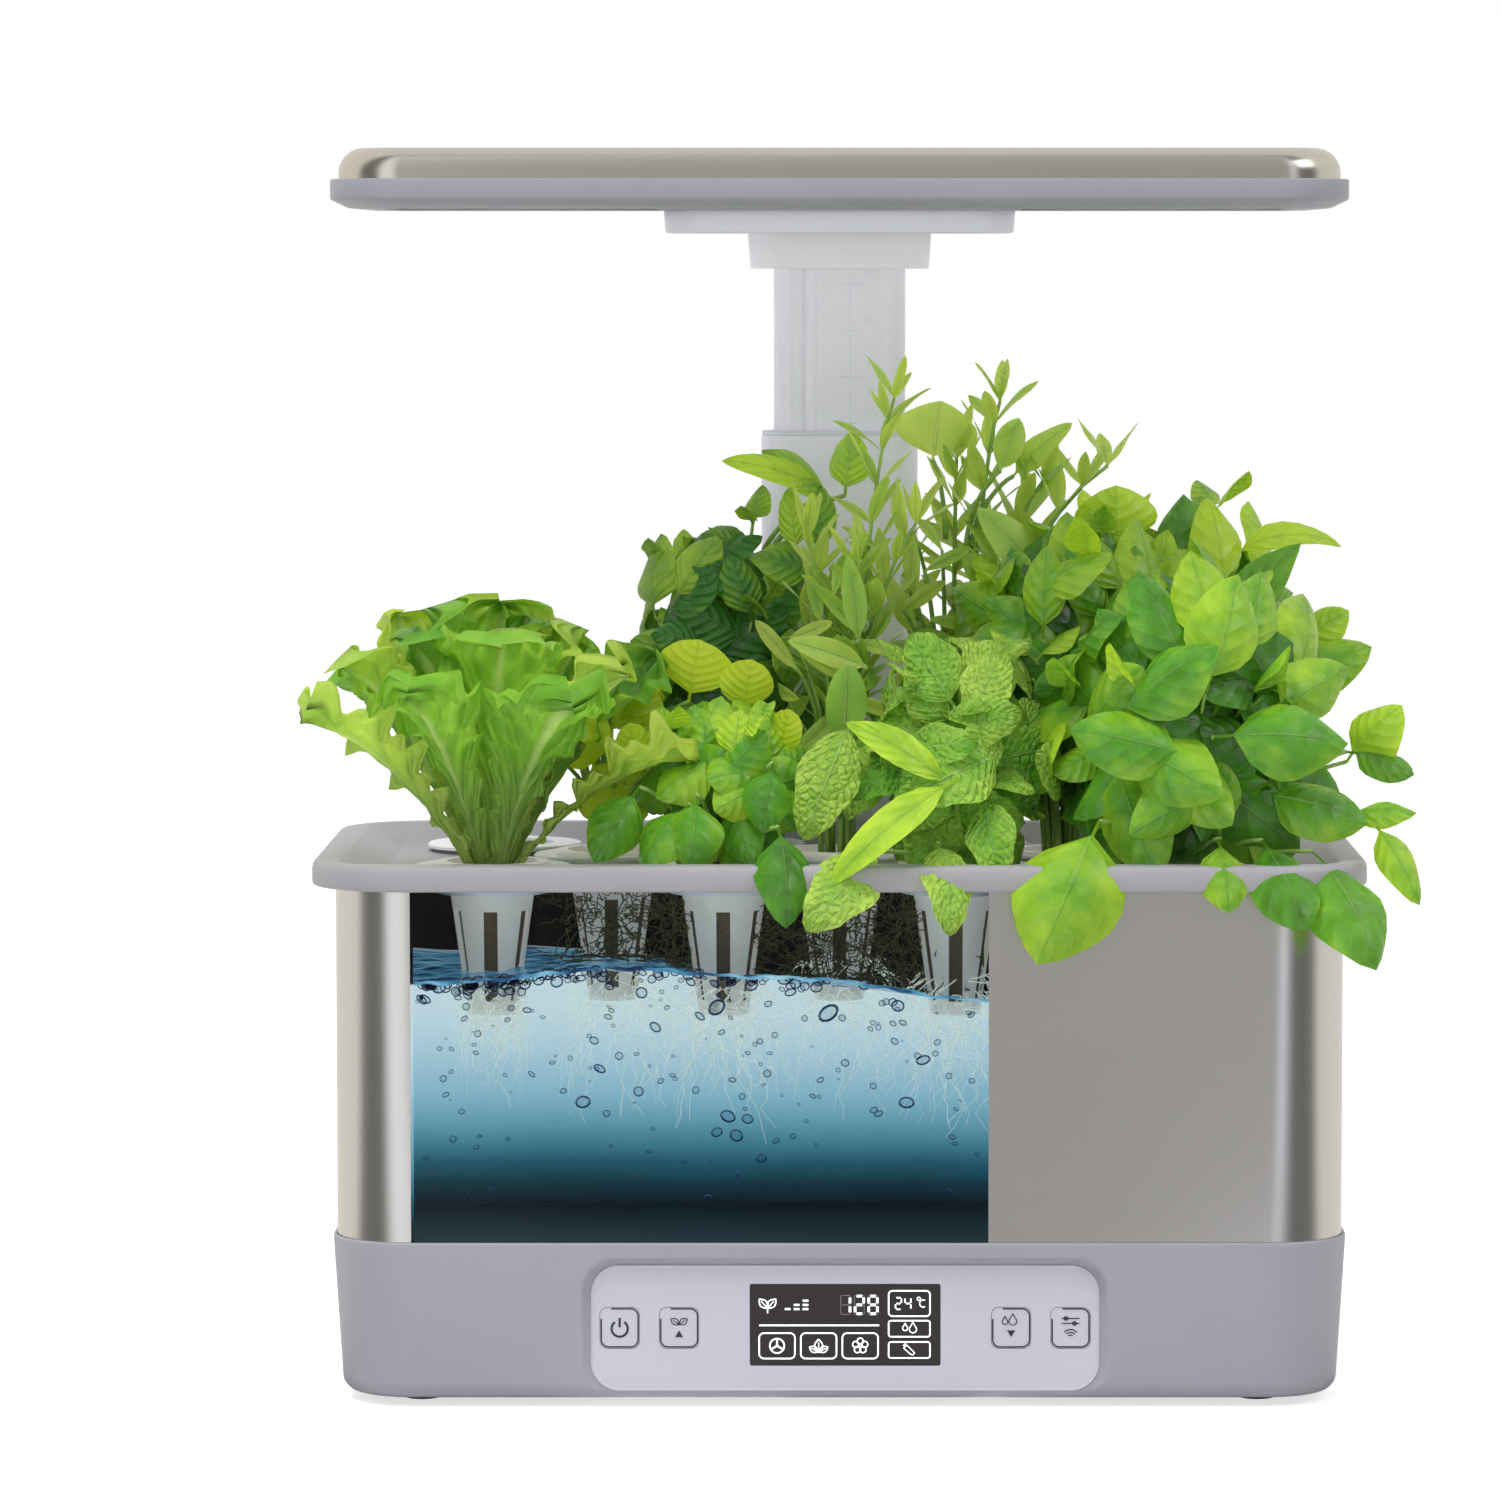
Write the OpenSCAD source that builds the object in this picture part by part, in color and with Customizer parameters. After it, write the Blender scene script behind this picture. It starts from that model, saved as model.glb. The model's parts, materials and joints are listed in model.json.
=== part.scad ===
// Countertop hydroponic garden: a steel-wrapped water tank on a grey base, a deck of plant pods,
// and a lamp that slides up and down on a mast behind the tank.
// Millimetres. +Z is up, the control panel faces -Y, and the feet stand on Z = 0.

/* [Body] */
// Width of the steel body
body_w = 363; // [340:1:400]
// Depth of the steel body
body_d = 187; // [180:1:215]
// Height of steel that shows between the base and the deck
body_h = 126.5; // [110:0.5:160]
// Radius of the body's upright corners, seen from above
body_r = 28; // [22:1:36]
// Thickness of the steel sheet and of the window pane
steel_t = 0.8; // [0.5:0.1:1.5]
// Thickness of the clear tank's walls
tank_t = 2.2; // [1.6:0.1:4]

/* [Window] */
// Width of the window in the front of the steel
window_w = 206.5; // [120:0.5:215]
// Centre of the window, to the left of the middle
window_shift = 50; // [30:0.5:50]

/* [Base] */
// Height of the base, without its feet
base_h = 57; // [54:1:70]
// How far the base stands out past the steel
base_grow = 1.5; // [1:0.1:4]
// How far the base's sides lean in towards the foot
base_draft = 3.2; // [2.4:0.1:5]
// Radius of the base's lower edge
base_edge = 6; // [3:0.5:8]
// Thickness of the base's walls
base_t = 3; // [2:0.1:4]
// Height of the lip that the steel and the tank stand in
base_lip = 4; // [3:0.5:6]
// Height of the rubber feet
foot_h = 3; // [2:0.5:6]
// Radius of a rubber foot
foot_r = 7; // [5:0.5:10]

/* [Controls] */
// Width of the control panel
panel_w = 182; // [176:1:200]
// Height of the control panel
panel_h = 45.2; // [40:0.2:47]
// Thickness of the control panel
panel_t = 1.5; // [1:0.1:2]
// Width of the display window
display_w = 68; // [60:0.5:72]
// Height of the display window
display_h = 29.2; // [24:0.1:32]
// Width of a key
key_w = 14; // [12:0.1:15]
// Height of a key
key_h = 14.7; // [12:0.1:16]
// Distance from the middle of the panel to the inner keys
key_near = 59.5; // [56:0.5:62]
// Distance between the two keys of a pair
key_pitch = 21.3; // [19:0.1:22]
// How far a key can be pressed
key_travel = 0.6; // [0.3:0.1:0.8]

/* [Deck] */
// How far the deck overhangs the steel
deck_over = 8.5; // [6:0.5:10]
// Height of the band round the deck
deck_h = 9.3; // [8:0.1:14]
// Width of the flat rim on top of the deck
rim_w = 11; // [8:0.5:14]
// Width of the slope from the rim to the floor of the deck
slope_w = 13; // [10:0.5:16]
// Depth of the deck's floor below the rim
deck_sink = 7; // [5:0.1:8]
// Thickness of the deck's floor
deck_t = 2.5; // [2:0.1:4]

/* [Pods] */
// Clear deck floor between the last ring in a row and the slope
ring_gap = 11; // [8:0.5:16]
// Radius of the white ring round each pod, as a share of the deck floor's depth
ring_share = 0.1859; // [0.17:0.0001:0.19]
// Radius of the bore that a pod drops into
ring_bore = 18.5; // [17.5:0.1:19.5]
// Wall of the white ring's neck
ring_t = 1.2; // [1:0.1:2]
// Depth of the ring's bore
ring_neck = 10; // [8:0.5:14]
// Radius of a basket's flange
flange_r = 21; // [20:0.5:24]
// Length of a basket below its flange
basket_h = 54; // [45:1:60]
// Radius of a basket's body at the top
basket_top_r = 15.5; // [14:0.1:16.5]
// Radius of a basket's body at the bottom
basket_foot_r = 9; // [7:0.1:11]
// Thickness of a basket's wall
basket_t = 1.3; // [1:0.1:2]
// Width of the slots in a basket
slot_w = 5; // [3:0.5:6]

/* [Mast] */
// Width of the outer mast
sleeve_w = 60; // [56:1:66]
// Depth of the outer mast
sleeve_d = 34; // [32:1:40]
// Wall of the outer mast
sleeve_t = 2.2; // [1.6:0.1:3]
// Height of the outer mast's top above the ground
sleeve_top = 343.5; // [320:0.5:348]
// Width of the inner mast
tube_w = 50.4; // [44:0.2:51]
// Depth of the inner mast
tube_d = 24.4; // [20:0.2:26]
// Wall of the inner mast
tube_t = 2; // [1.5:0.1:3]
// Length of the inner mast
tube_l = 259; // [230:1:275]

/* [Lamp] */
// Width of the lamp's rim
lamp_w = 364; // [340:1:380]
// Depth of the lamp's rim
lamp_d = 190; // [170:1:205]
// Radius of the lamp's corners, seen from above
lamp_r = 26; // [20:1:34]
// Height of the lamp's underside above the ground
lamp_z = 429; // [427:0.5:440]
// Height of the rim's upright band
rim_band = 7.3; // [6:0.1:10]
// Height of the chamfer below the band
rim_chamfer = 3.2; // [2:0.1:4]
// Height of the steel cover that shows above the rim
cover_h = 11; // [10:0.5:16]
// Radius of the cover's upper edge
cover_edge = 9; // [6:0.5:10]
// Width of the plate that carries the lamp
bracket_w = 131; // [110:1:140]
// Height of the plate that carries the lamp
bracket_h = 8.5; // [7:0.5:10]
// Width of the block on top of the mast
head_w = 70; // [66:1:80]
// Height of the block on top of the mast
head_h = 13.4; // [12:0.2:16]
// Distance from the lamp's front edge back to the plate
bracket_reach = 115; // [100:1:125]

/* [Hidden] */
// Clearance between pieces that slide past each other or drop into each other
slip = 0.4;
// Clearance between small pieces that are assembled once
snug = 0.2;
// Points on a quarter of a rounded corner
corner_n = 9;
// Thickness of the slice that a sloping cut is drawn through
slice = 0.1;
// Overrun of a cut past the face that it opens
over = 1;

// Heights
base_top = foot_h + base_h;
ledge_z = base_top - base_lip;
deck_z = base_top + body_h;
rim_z = deck_z + deck_h;
floor_z = rim_z - deck_sink;
steel_tuck = 3;

// Outlines
base_w = body_w + 2 * base_grow;
base_d = body_d + 2 * base_grow;
base_r = body_r + base_grow;
deck_w = body_w + 2 * deck_over;
deck_d = body_d + 2 * deck_over;
deck_r = body_r + deck_over;
tank_w = body_w - 2 * (steel_t + slip);
tank_d = body_d - 2 * (steel_t + slip);
tank_r = body_r - steel_t - slip;
foot_inset = base_draft + base_edge;
floor_w = deck_w - 2 * (rim_w + slope_w);
floor_d = deck_d - 2 * (rim_w + slope_w);

// Distances between neighbouring pods in a row, and between rows
ring_r = floor_d * ring_share;
row_pitch = floor_d / 2 - ring_r;
pod_pitch = (floor_w - 2 * (ring_r + ring_gap)) / 3;

// Controls: the panel stands upright where the leaning front of the base would meet its foot
panel_y = -base_d / 2 + base_draft + 0.9;
panel_x = 2;
panel_z = foot_h + base_h / 2 - 2.6;
panel_r = 10;
// How far the display sits above the middle of the panel
display_up = 1.1;
panel_margin = 3;
backing_t = 6.8;
board_y = panel_y + panel_t + backing_t;
board_t = 1.6;
key_names = ["power_key", "plant_key", "pump_key", "setup_key"];
key_x = [-key_near - key_pitch, -key_near, key_near, key_near + key_pitch];
key_flange = 1.1;
key_corner = 2.6;

// Power socket
socket_x = -70;
socket_y = base_d / 2 - base_draft;
socket_z = 22;
socket_r = 5;

// Feet and screws
foot_x = body_w / 2 - 30.5;
foot_y = body_d / 2 - 27;
screw_x = foot_x - 32;
cover_t = 2.5;
screw_r = 1.5;
screw_head_r = 3;
post_r = 4;
vent_pitch = 9;
vent_w = 3;
vent_l = 40;

// Pods: the front row has four, the middle row three and the back row four
pod_sites = [
    for (i = [-1.5:1:1.5]) [i * pod_pitch, -row_pitch],
    for (i = [-1:1:1]) [i * pod_pitch, 0],
    for (i = [-1.5:1:1.5]) [i * pod_pitch, row_pitch]
];
site_names = [
    "front_1", "front_2", "front_3", "front_4", "middle_1", "middle_2", "middle_3",
    "back_1", "back_2", "back_3", "back_4"
];
function site(name) = search([name], site_names)[0];
lettuce_site = "front_1";
spare_site = "back_1";
// Each herb: its name, its site, the height of its crown above the rim, the crown's half width,
// its lower edge above the rim, and how far its widest part leans out along X and Y
herbs = [
    ["small_basil", "front_2", 58, 41, 3, [0, -4]],
    ["mint", "front_3", 84, 45, 2, [0, -6]],
    ["broad_basil", "front_4", 112, 66, 3, [6, -6]],
    ["seedlings", "middle_1", 76, 38, 18, [-4, 0]],
    ["rosemary", "middle_2", 172, 34, 16, [0, 0]],
    ["green_basil", "middle_3", 146, 50, 20, [0, 0]],
    ["tall_basil", "back_2", 150, 47, 12, [-6, 0]],
    ["sage", "back_3", 176, 42, 14, [0, 0]],
    ["back_basil", "back_4", 134, 66, 12, [6, 4]]
];
lettuce_crown = [94, 54, 10, [-6, -4]];
boss_h = 1.4;
ring_flange = 1.6;
flange_t = 1.6;
ring_top = floor_z + boss_h + ring_flange;
pod_top = ring_top + flange_t;
collar_h = 8;
collar_r = ring_bore - 0.6;
sponge_drop = 4;
stem_r = 3;
cell_gap = 0.5;
slots = 6;

// Filling port at the right-hand end of the middle row
port_x = 1.5 * pod_pitch + 13;
port_w = 22;
port_d = 18;
door_w = 28;
door_d = 26;
door_t = 1.8;
door_play = 0.3;
pin_r = 1;
knuckle_r = 2;
door_axis_y = door_d / 2 - knuckle_r;
door_axis_z = floor_z + 0.6;

// Mast
mast_foot_t = 3;
mast_foot_w = sleeve_w + 2 * (mast_foot_t + 6);
mast_foot_h = base_h + 14;
mast_y = base_d / 2 + mast_foot_t + sleeve_d / 2 + snug / 2;
mast_back = mast_y + sleeve_d / 2 + snug / 2 + mast_foot_t;
sleeve_z = foot_h + 7;
sleeve_r = 9;
tube_r = 6;
bush_h = 26;
head_z = lamp_z - bracket_h - head_h;
tube_in_head = 10;
tube_top = head_z + tube_in_head;
head_d = 46;
bracket_front = bracket_reach - lamp_d / 2;
bracket_back = mast_y + head_d / 2 + 3;
lead_r = 4;
lead_seat = 5;

// Lamp
cover_w = lamp_w - 6;
cover_d = lamp_d - 6;
cover_r = lamp_r - 3;
cover_t_sheet = 1;
cover_z = lamp_z + rim_chamfer + rim_band;
cover_seat = 3;
glass_w = lamp_w - 24;
glass_d = lamp_d - 24;
glass_t = 2;
pad_h = 4.4;
pad_w = bracket_w + 4;
glass_z = lamp_z + 1.2;
board_w = glass_w + 8;
board_d = glass_d + 8;
led_t = 1.6;
led_z = cover_z - cover_seat - led_t;
led_cols = 12;
led_rows = 5;
led_size = 4;

// Pump, in the back right-hand corner of the tank
pump_w = 40;
pump_d = 34;
pump_h = 34;
pump_x = body_w / 2 - 34;
pump_y = body_d / 2 - 30;
pump_z = ledge_z + tank_t;
impeller_r = 10;
impeller_l = 8;
shaft_r = 1.2;
chamber_r = 12;
chamber_l = 11;
riser_r = 5;
riser_x = pump_w / 2 - riser_r - 2;
riser_h = body_h - pump_h - 22;
sensor_gap = 28;
sensor_x = pump_x - pump_w / 2 - sensor_gap;

// The part's origin is under the middle of its outline, front to back
frame_y = (deck_d / 2 - bracket_back) / 2;

// ---- shared shapes ----

// Outline of a rectangle w by d with corners of radius r, as points
function rounded(w, d, r) = [
    for (q = [0:3])
        let (cx = (q == 0 || q == 3 ? 1 : -1) * (w / 2 - r), cy = (q < 2 ? 1 : -1) * (d / 2 - r))
        for (k = [0:corner_n - 1])
            let (a = 90 * (q + k / (corner_n - 1)))
            [cx + r * cos(a), cy + r * sin(a)]
];

// Upright rounded block from z0 to z1
module slab(w, d, r, z0, z1) {
    translate([0, 0, z0])
        linear_extrude(z1 - z0)
            polygon(rounded(w, d, r));
}

// Upright rounded tube with walls t thick
module wall_ring(w, d, r, t, z0, z1) {
    difference() {
        slab(w, d, r, z0, z1);
        slab(w - 2 * t, d - 2 * t, max(r - t, 1), z0 - over, z1 + over);
    }
}

// Rounded plate in an upright plane that faces -Y, from y0 back to y1
module upright_plate(w, h, r, y0, y1) {
    translate([0, y1, 0])
        rotate([90, 0, 0])
            linear_extrude(y1 - y0)
                polygon(rounded(w, h, r));
}

// Stack of rounded outlines, each [inset, z] from the lowest up, of a block w by d with corners r
module lofted(w, d, r, steps) {
    n = 4 * corner_n;
    last = (len(steps) - 1) * n;
    points = [
        for (s = steps)
            for (p = rounded(w - 2 * s[0], d - 2 * s[0], max(r - s[0], 1)))
                [p[0], p[1], s[1]]
    ];
    sides = [
        for (k = [0:len(steps) - 2], i = [0:n - 1])
            let (j = (i + 1) % n)
                [k * n + i, (k + 1) * n + i, (k + 1) * n + j, k * n + j]
    ];
    polyhedron(points, concat([[for (i = [0:n - 1]) i]], sides, [[for (i = [n - 1:-1:0]) last + i]]));
}

module at_site(i) {
    translate([pod_sites[i][0], pod_sites[i][1], 0])
        children();
}

module at_corners(x, y) {
    for (sx = [-1, 1], sy = [-1, 1])
        translate([sx * x, sy * y, 0])
            children();
}

// ---- base ----

// Insets of the base's outside: a rounded foot and a side that leans out up to the top
function base_steps(top) = [
    for (a = [90:-22.5:0])
        [base_draft + base_edge * (1 - cos(a)), foot_h + base_edge * (1 - sin(a))],
    [0, top]
];

module base_shell() {
    color("#a3a5ad")
    difference() {
        union() {
            difference() {
                lofted(base_w, base_d, base_r, base_steps(base_top));
                hull() {
                    slab(base_w - 2 * (foot_inset + base_t), base_d - 2 * (foot_inset + base_t),
                         base_r - foot_inset, foot_h - over, foot_h);
                    slab(base_w - 2 * (base_draft + base_t), base_d - 2 * (base_draft + base_t),
                         base_r - base_draft, foot_h + base_edge, ledge_z - base_t);
                }
                slab(body_w + 2 * snug, body_d + 2 * snug, body_r + snug, ledge_z, base_top + over);
            }
            // Backing behind the control panel
            translate([panel_x - panel_w / 2 - panel_margin - 4, panel_y - 1, foot_h + cover_t + snug])
                cube([panel_w + 2 * panel_margin + 8, board_y - panel_y + 1, ledge_z - foot_h - cover_t - base_t]);
            // Pad that the mast's foot is screwed to
            translate([-mast_foot_w / 2, base_d / 2 - base_draft - base_t, foot_h + base_edge])
                cube([mast_foot_w, base_draft + base_t, base_h - base_edge - 1]);
            // Posts for the bottom cover's screws
            at_corners(screw_x, foot_y)
                translate([0, 0, foot_h + cover_t])
                    cylinder(r = post_r, h = ledge_z - base_t - foot_h - cover_t + 1, $fn = 24);
        }
        slab(body_w + 2 * snug, body_d + 2 * snug, body_r + snug, ledge_z, base_top + over);
        translate([panel_x, 0, panel_z]) {
            upright_plate(panel_w + 2 * panel_margin, panel_h + 2 * panel_margin, panel_r + panel_margin,
                          -base_d / 2 - over, panel_y);
            upright_plate(panel_w + 2 * snug, panel_h + 2 * snug, panel_r, panel_y - over, panel_y + panel_t);
            translate([-display_w / 2 - 3, panel_y, display_up - display_h / 2 - 3])
                cube([display_w + 6, backing_t + 6, display_h + 6]);
            for (x = key_x)
                translate([x - key_w / 2 - 2, panel_y, -key_h / 2 - 2])
                    cube([key_w + 4, backing_t + 6, key_h + 4]);
        }
        at_corners(screw_x, foot_y)
            cylinder(r = screw_r + 0.05, h = foot_h + cover_t + 14, $fn = 24);
        // Hole for the power socket, with a seat for its flange
        translate([socket_x, socket_y, socket_z])
            rotate([90, 0, 0]) {
                translate([0, 0, -base_draft - over])
                    cylinder(r = socket_r + 2 + snug, h = base_draft + over, $fn = 40);
                cylinder(r = socket_r + snug, h = base_t + over, $fn = 40);
            }
    }
}

module bottom_cover() {
    color("#8f9198")
    difference() {
        slab(base_w - 2 * (foot_inset + base_t + snug), base_d - 2 * (foot_inset + base_t + snug),
             base_r - foot_inset - snug, foot_h, foot_h + cover_t);
        at_corners(screw_x, foot_y) {
            cylinder(r = screw_r + snug, h = 20, $fn = 24);
            cylinder(r = screw_head_r + snug, h = foot_h + 1.2, $fn = 24);
        }
        for (i = [-6:6])
            translate([i * vent_pitch - vent_w / 2, -vent_l / 2, 0])
                cube([vent_w, vent_l, foot_h + cover_t + over]);
    }
}

module case_screws() {
    color("#b9bcc2")
    at_corners(screw_x, foot_y)
        difference() {
            union() {
                translate([0, 0, foot_h + 0.2])
                    cylinder(r = screw_head_r, h = 1, $fn = 24);
                translate([0, 0, foot_h + 1])
                    cylinder(r = screw_r, h = cover_t + 10, $fn = 24);
            }
            for (a = [0, 90])
                rotate([0, 0, a])
                    translate([-2, -0.3, foot_h])
                        cube([4, 0.6, 0.8]);
        }
}

module rubber_feet() {
    color("#77797f")
    at_corners(foot_x, foot_y)
        rotate_extrude($fn = 48)
            polygon([[0, 0], [foot_r - 1, 0], [foot_r, 1], [foot_r, foot_h], [0, foot_h]]);
}

module dc_socket() {
    color("#2b2c30")
    translate([socket_x, socket_y, socket_z])
        rotate([90, 0, 0]) {
            difference() {
                union() {
                    translate([0, 0, -1])
                        cylinder(r = socket_r + 2, h = 1, $fn = 40);
                    translate([0, 0, -0.5])
                        cylinder(r = socket_r, h = 14.5, $fn = 40);
                }
                translate([0, 0, -2])
                    cylinder(r = 2.8, h = 13, $fn = 32);
            }
            cylinder(r = 1, h = 12, $fn = 24);
        }
}

// ---- controls ----

module control_panel() {
    color("#c9cad6")
    translate([panel_x, 0, panel_z])
        difference() {
            upright_plate(panel_w, panel_h, panel_r, panel_y, panel_y + panel_t);
            translate([0, 0, display_up])
                upright_plate(display_w + 2 * snug, display_h + 2 * snug, 0.8, panel_y - over, panel_y + panel_t + over);
            for (x = key_x)
                translate([x, 0, 0])
                    upright_plate(key_w + 2 * snug, key_h + 2 * snug, key_corner + snug,
                                  panel_y - over, panel_y + panel_t + over);
        }
}

module display_lens() {
    color("#2a2528")
    translate([panel_x, 0, panel_z + display_up])
        upright_plate(display_w, display_h, 0.6, panel_y, panel_y + panel_t);
}

// Printed board with the keys' switches and the display's screen in front of it
module control_board() {
    color("#2f6b3d") {
        translate([panel_x - panel_w / 2 + 2, board_y, panel_z + display_up - display_h / 2 - 4])
            cube([panel_w - 4, board_t, display_h + 8]);
        translate([panel_x - display_w / 2 - 2, panel_y + panel_t, panel_z + display_up - display_h / 2 - 2])
            cube([display_w + 4, board_y - panel_y - panel_t + 0.5, display_h + 4]);
        for (x = key_x)
            translate([panel_x + x, board_y + 0.5, panel_z]) {
                translate([-3, -3.7, -3])
                    cube([6, 3.7, 6]);
                rotate([90, 0, 0])
                    cylinder(r = 1.7, h = 4.7, $fn = 24);
            }
    }
}

// Key i: a cap that is flush with the panel, a flange behind it, and a stem that presses its switch
module key(i) {
    stem_end = board_y - 4.2 - key_travel - 0.1;
    flange_y = panel_y + panel_t + 0.1;
    color("#cdced9")
    translate([panel_x + key_x[i], 0, panel_z]) {
        upright_plate(key_w, key_h, key_corner, panel_y, flange_y + 0.2);
        upright_plate(key_w + 2, key_h + 2, key_corner, flange_y, flange_y + key_flange);
        translate([0, stem_end, 0])
            rotate([90, 0, 0])
                cylinder(r = 2.5, h = stem_end - flange_y, $fn = 24);
    }
}

// ---- body and tank ----

module window_cut(grow) {
    translate([-window_shift - window_w / 2 - grow, -body_d / 2 - over, base_top - 0.3 - grow])
        cube([window_w + 2 * grow, steel_t + over + 0.1, body_h + 0.6 + 2 * grow]);
}

module steel_sleeve() {
    color("#b4b2ad")
    difference() {
        wall_ring(body_w, body_d, body_r, steel_t, ledge_z, deck_z + steel_tuck);
        window_cut(0);
    }
}

module window_pane() {
    color([0.75, 0.85, 0.9, 0.3])
    translate([-window_shift - window_w / 2 + 0.1, -body_d / 2, base_top - 0.2])
        cube([window_w - 0.2, steel_t, body_h + 0.4]);
}

module water_tank() {
    top = floor_z - deck_t;
    color([0.8, 0.88, 0.92, 0.35])
    difference() {
        slab(tank_w, tank_d, tank_r, ledge_z, top);
        slab(tank_w - 2 * tank_t, tank_d - 2 * tank_t, tank_r - tank_t, ledge_z + tank_t, top + over);
    }
}

module pump_body() {
    color("#2e3136")
    translate([pump_x, pump_y, pump_z]) {
        difference() {
            translate([-pump_w / 2, -pump_d / 2, 0])
                cube([pump_w, pump_d, pump_h]);
            translate([0, -pump_d / 2 + chamber_l, pump_h / 2])
                rotate([90, 0, 0])
                    cylinder(r = chamber_r, h = chamber_l + over, $fn = 48);
            translate([riser_x, 0, pump_h / 2])
                cylinder(r = riser_r - 1.5, h = pump_h, $fn = 32);
        }
        // Outlet pipe
        translate([riser_x, 0, pump_h - 0.5])
            difference() {
                cylinder(r = riser_r, h = riser_h, $fn = 40);
                translate([0, 0, -over])
                    cylinder(r = riser_r - 1.5, h = riser_h + 2 * over, $fn = 32);
            }
        translate([0, -pump_d / 2 + chamber_l, pump_h / 2])
            rotate([90, 0, 0])
                cylinder(r = shaft_r, h = chamber_l - 0.5, $fn = 24);
    }
}

module pump_cover() {
    color("#3c4046")
    translate([pump_x, pump_y - pump_d / 2, pump_z])
        difference() {
            translate([-pump_w / 2, -3, 0])
                cube([pump_w, 3, pump_h]);
            for (i = [-2:2])
                translate([i * 5 - 1, -3 - over, 8])
                    cube([2, 3 + 2 * over, pump_h - 16]);
        }
}

module pump_impeller() {
    color("#d8dadf")
    translate([pump_x, pump_y - pump_d / 2 + chamber_l - 1.2, pump_z + pump_h / 2])
        rotate([90, 0, 0])
            difference() {
                union() {
                    cylinder(r = 3.4, h = impeller_l, $fn = 32);
                    cylinder(r = impeller_r, h = 1.2, $fn = 48);
                    for (a = [0:60:300])
                        rotate([0, 0, a])
                            translate([2, -0.7, 0])
                                cube([impeller_r - 2.4, 1.4, impeller_l]);
                }
                translate([0, 0, -over])
                    cylinder(r = shaft_r + 0.05, h = impeller_l + 2 * over, $fn = 24);
            }
}

module level_sensor() {
    color("#e4e6ea")
    translate([sensor_x, tank_d / 2 - tank_t - 5, ledge_z + tank_t]) {
        translate([-7, 0, 0])
            cube([14, 5, body_h - 35]);
        for (s = [-1, 1])
            translate([s * 4, 2.5, body_h - 35])
                cylinder(r = 1, h = 12, $fn = 20);
    }
}

// ---- deck and pods ----

module grow_deck() {
    under = floor_z - deck_t;
    color("#b3b3b6")
    difference() {
        union() {
            difference() {
                lofted(deck_w, deck_d, deck_r, [[0.5, deck_z], [0, deck_z + 1.5], [1, rim_z - 1.4], [2.2, rim_z]]);
                // Basin with sloping sides
                hull() {
                    slab(deck_w - 2 * rim_w, deck_d - 2 * rim_w, 9, rim_z, rim_z + over);
                    slab(deck_w - 2 * (rim_w + slope_w), deck_d - 2 * (rim_w + slope_w), 4, floor_z, floor_z + slice);
                }
            }
            slab(tank_w - 4, tank_d - 4, tank_r, under, floor_z - 0.5);
            for (s = pod_sites)
                translate([s[0], s[1], floor_z - 0.5])
                    cylinder(r = ring_r - 2.5, h = boss_h + 0.5, $fn = 64);
            // Lugs for the filling door's pin
            for (s = [-1, 1])
                translate([port_x + s * (door_w / 2 + 1.9), door_axis_y, floor_z - 0.5])
                    translate([-1.2, -2, 0])
                        cube([2.4, 4, 3.2]);
        }
        // Groove for the steel's upper edge
        wall_ring(body_w + 2 * slip, body_d + 2 * slip, body_r + slip, steel_t + 2 * slip, deck_z - over - 1, deck_z + steel_tuck + slip);
        for (s = pod_sites)
            translate([s[0], s[1], under - over])
                cylinder(r = ring_bore + ring_t + snug, h = deck_h + 2 * over, $fn = 64);
        // Notch round the mast
        translate([-sleeve_w / 2 - slip - 0.2, mast_y - sleeve_d / 2 - slip - 0.2, under - over])
            cube([sleeve_w + 2 * slip + 0.4, 40, 20]);
        // Filling port, the recess for its door and the trough for the door's knuckles
        translate([port_x - port_w / 2, -port_d / 2 - 1.5, under - over])
            cube([port_w, port_d - 1, 20]);
        translate([port_x - door_w / 2 - door_play, -door_d / 2 - door_play, floor_z - door_t])
            cube([door_w + 2 * door_play, door_d + 2 * door_play + 0.6, 20]);
        translate([port_x - door_w / 2 - door_play, door_axis_y, door_axis_z])
            rotate([0, 90, 0])
                cylinder(r = knuckle_r + door_play, h = door_w + 2 * door_play, $fn = 32);
        translate([port_x - door_w / 2 - 3.5, door_axis_y, door_axis_z])
            rotate([0, 90, 0])
                cylinder(r = pin_r + 0.02, h = door_w + 7, $fn = 32);
    }
}

module fill_door() {
    color("#bfbfc3")
    translate([port_x, 0, 0])
        difference() {
            union() {
                translate([-door_w / 2, -door_d / 2, floor_z - door_t + 0.3])
                    cube([door_w, door_d / 2 + door_axis_y, door_t - 0.3]);
                translate([-door_w / 2, door_axis_y, door_axis_z])
                    rotate([0, 90, 0])
                        cylinder(r = knuckle_r, h = door_w, $fn = 32);
                // Finger tab
                translate([-4, -door_d / 2, floor_z - 0.1])
                    cube([8, 1.6, 1.3]);
            }
            translate([-door_w / 2 - over, door_axis_y, door_axis_z])
                rotate([0, 90, 0])
                    cylinder(r = pin_r + 0.05, h = door_w + 2 * over, $fn = 32);
        }
}

module fill_door_pin() {
    color("#c8cacf")
    translate([port_x - door_w / 2 - 3, door_axis_y, door_axis_z])
        rotate([0, 90, 0])
            cylinder(r = pin_r, h = door_w + 6, $fn = 32);
}

// White ring whose flange lies on the deck and whose neck lines a hole
module planting_ring() {
    neck = ring_bore + ring_t;
    color("#f6f6f8")
    translate([0, 0, ring_top])
        rotate_extrude($fn = 72)
            polygon([
                [ring_bore, 0], [ring_r - 0.6, 0], [ring_r, -0.6], [ring_r, -ring_flange],
                [neck, -ring_flange], [neck, -ring_neck], [ring_bore, -ring_neck]
            ]);
}

// Radius of the outside of a basket's body at depth d under its flange
function basket_r(d) = basket_top_r + (basket_foot_r - basket_top_r) * (d - collar_h) / (basket_h - collar_h);

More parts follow.
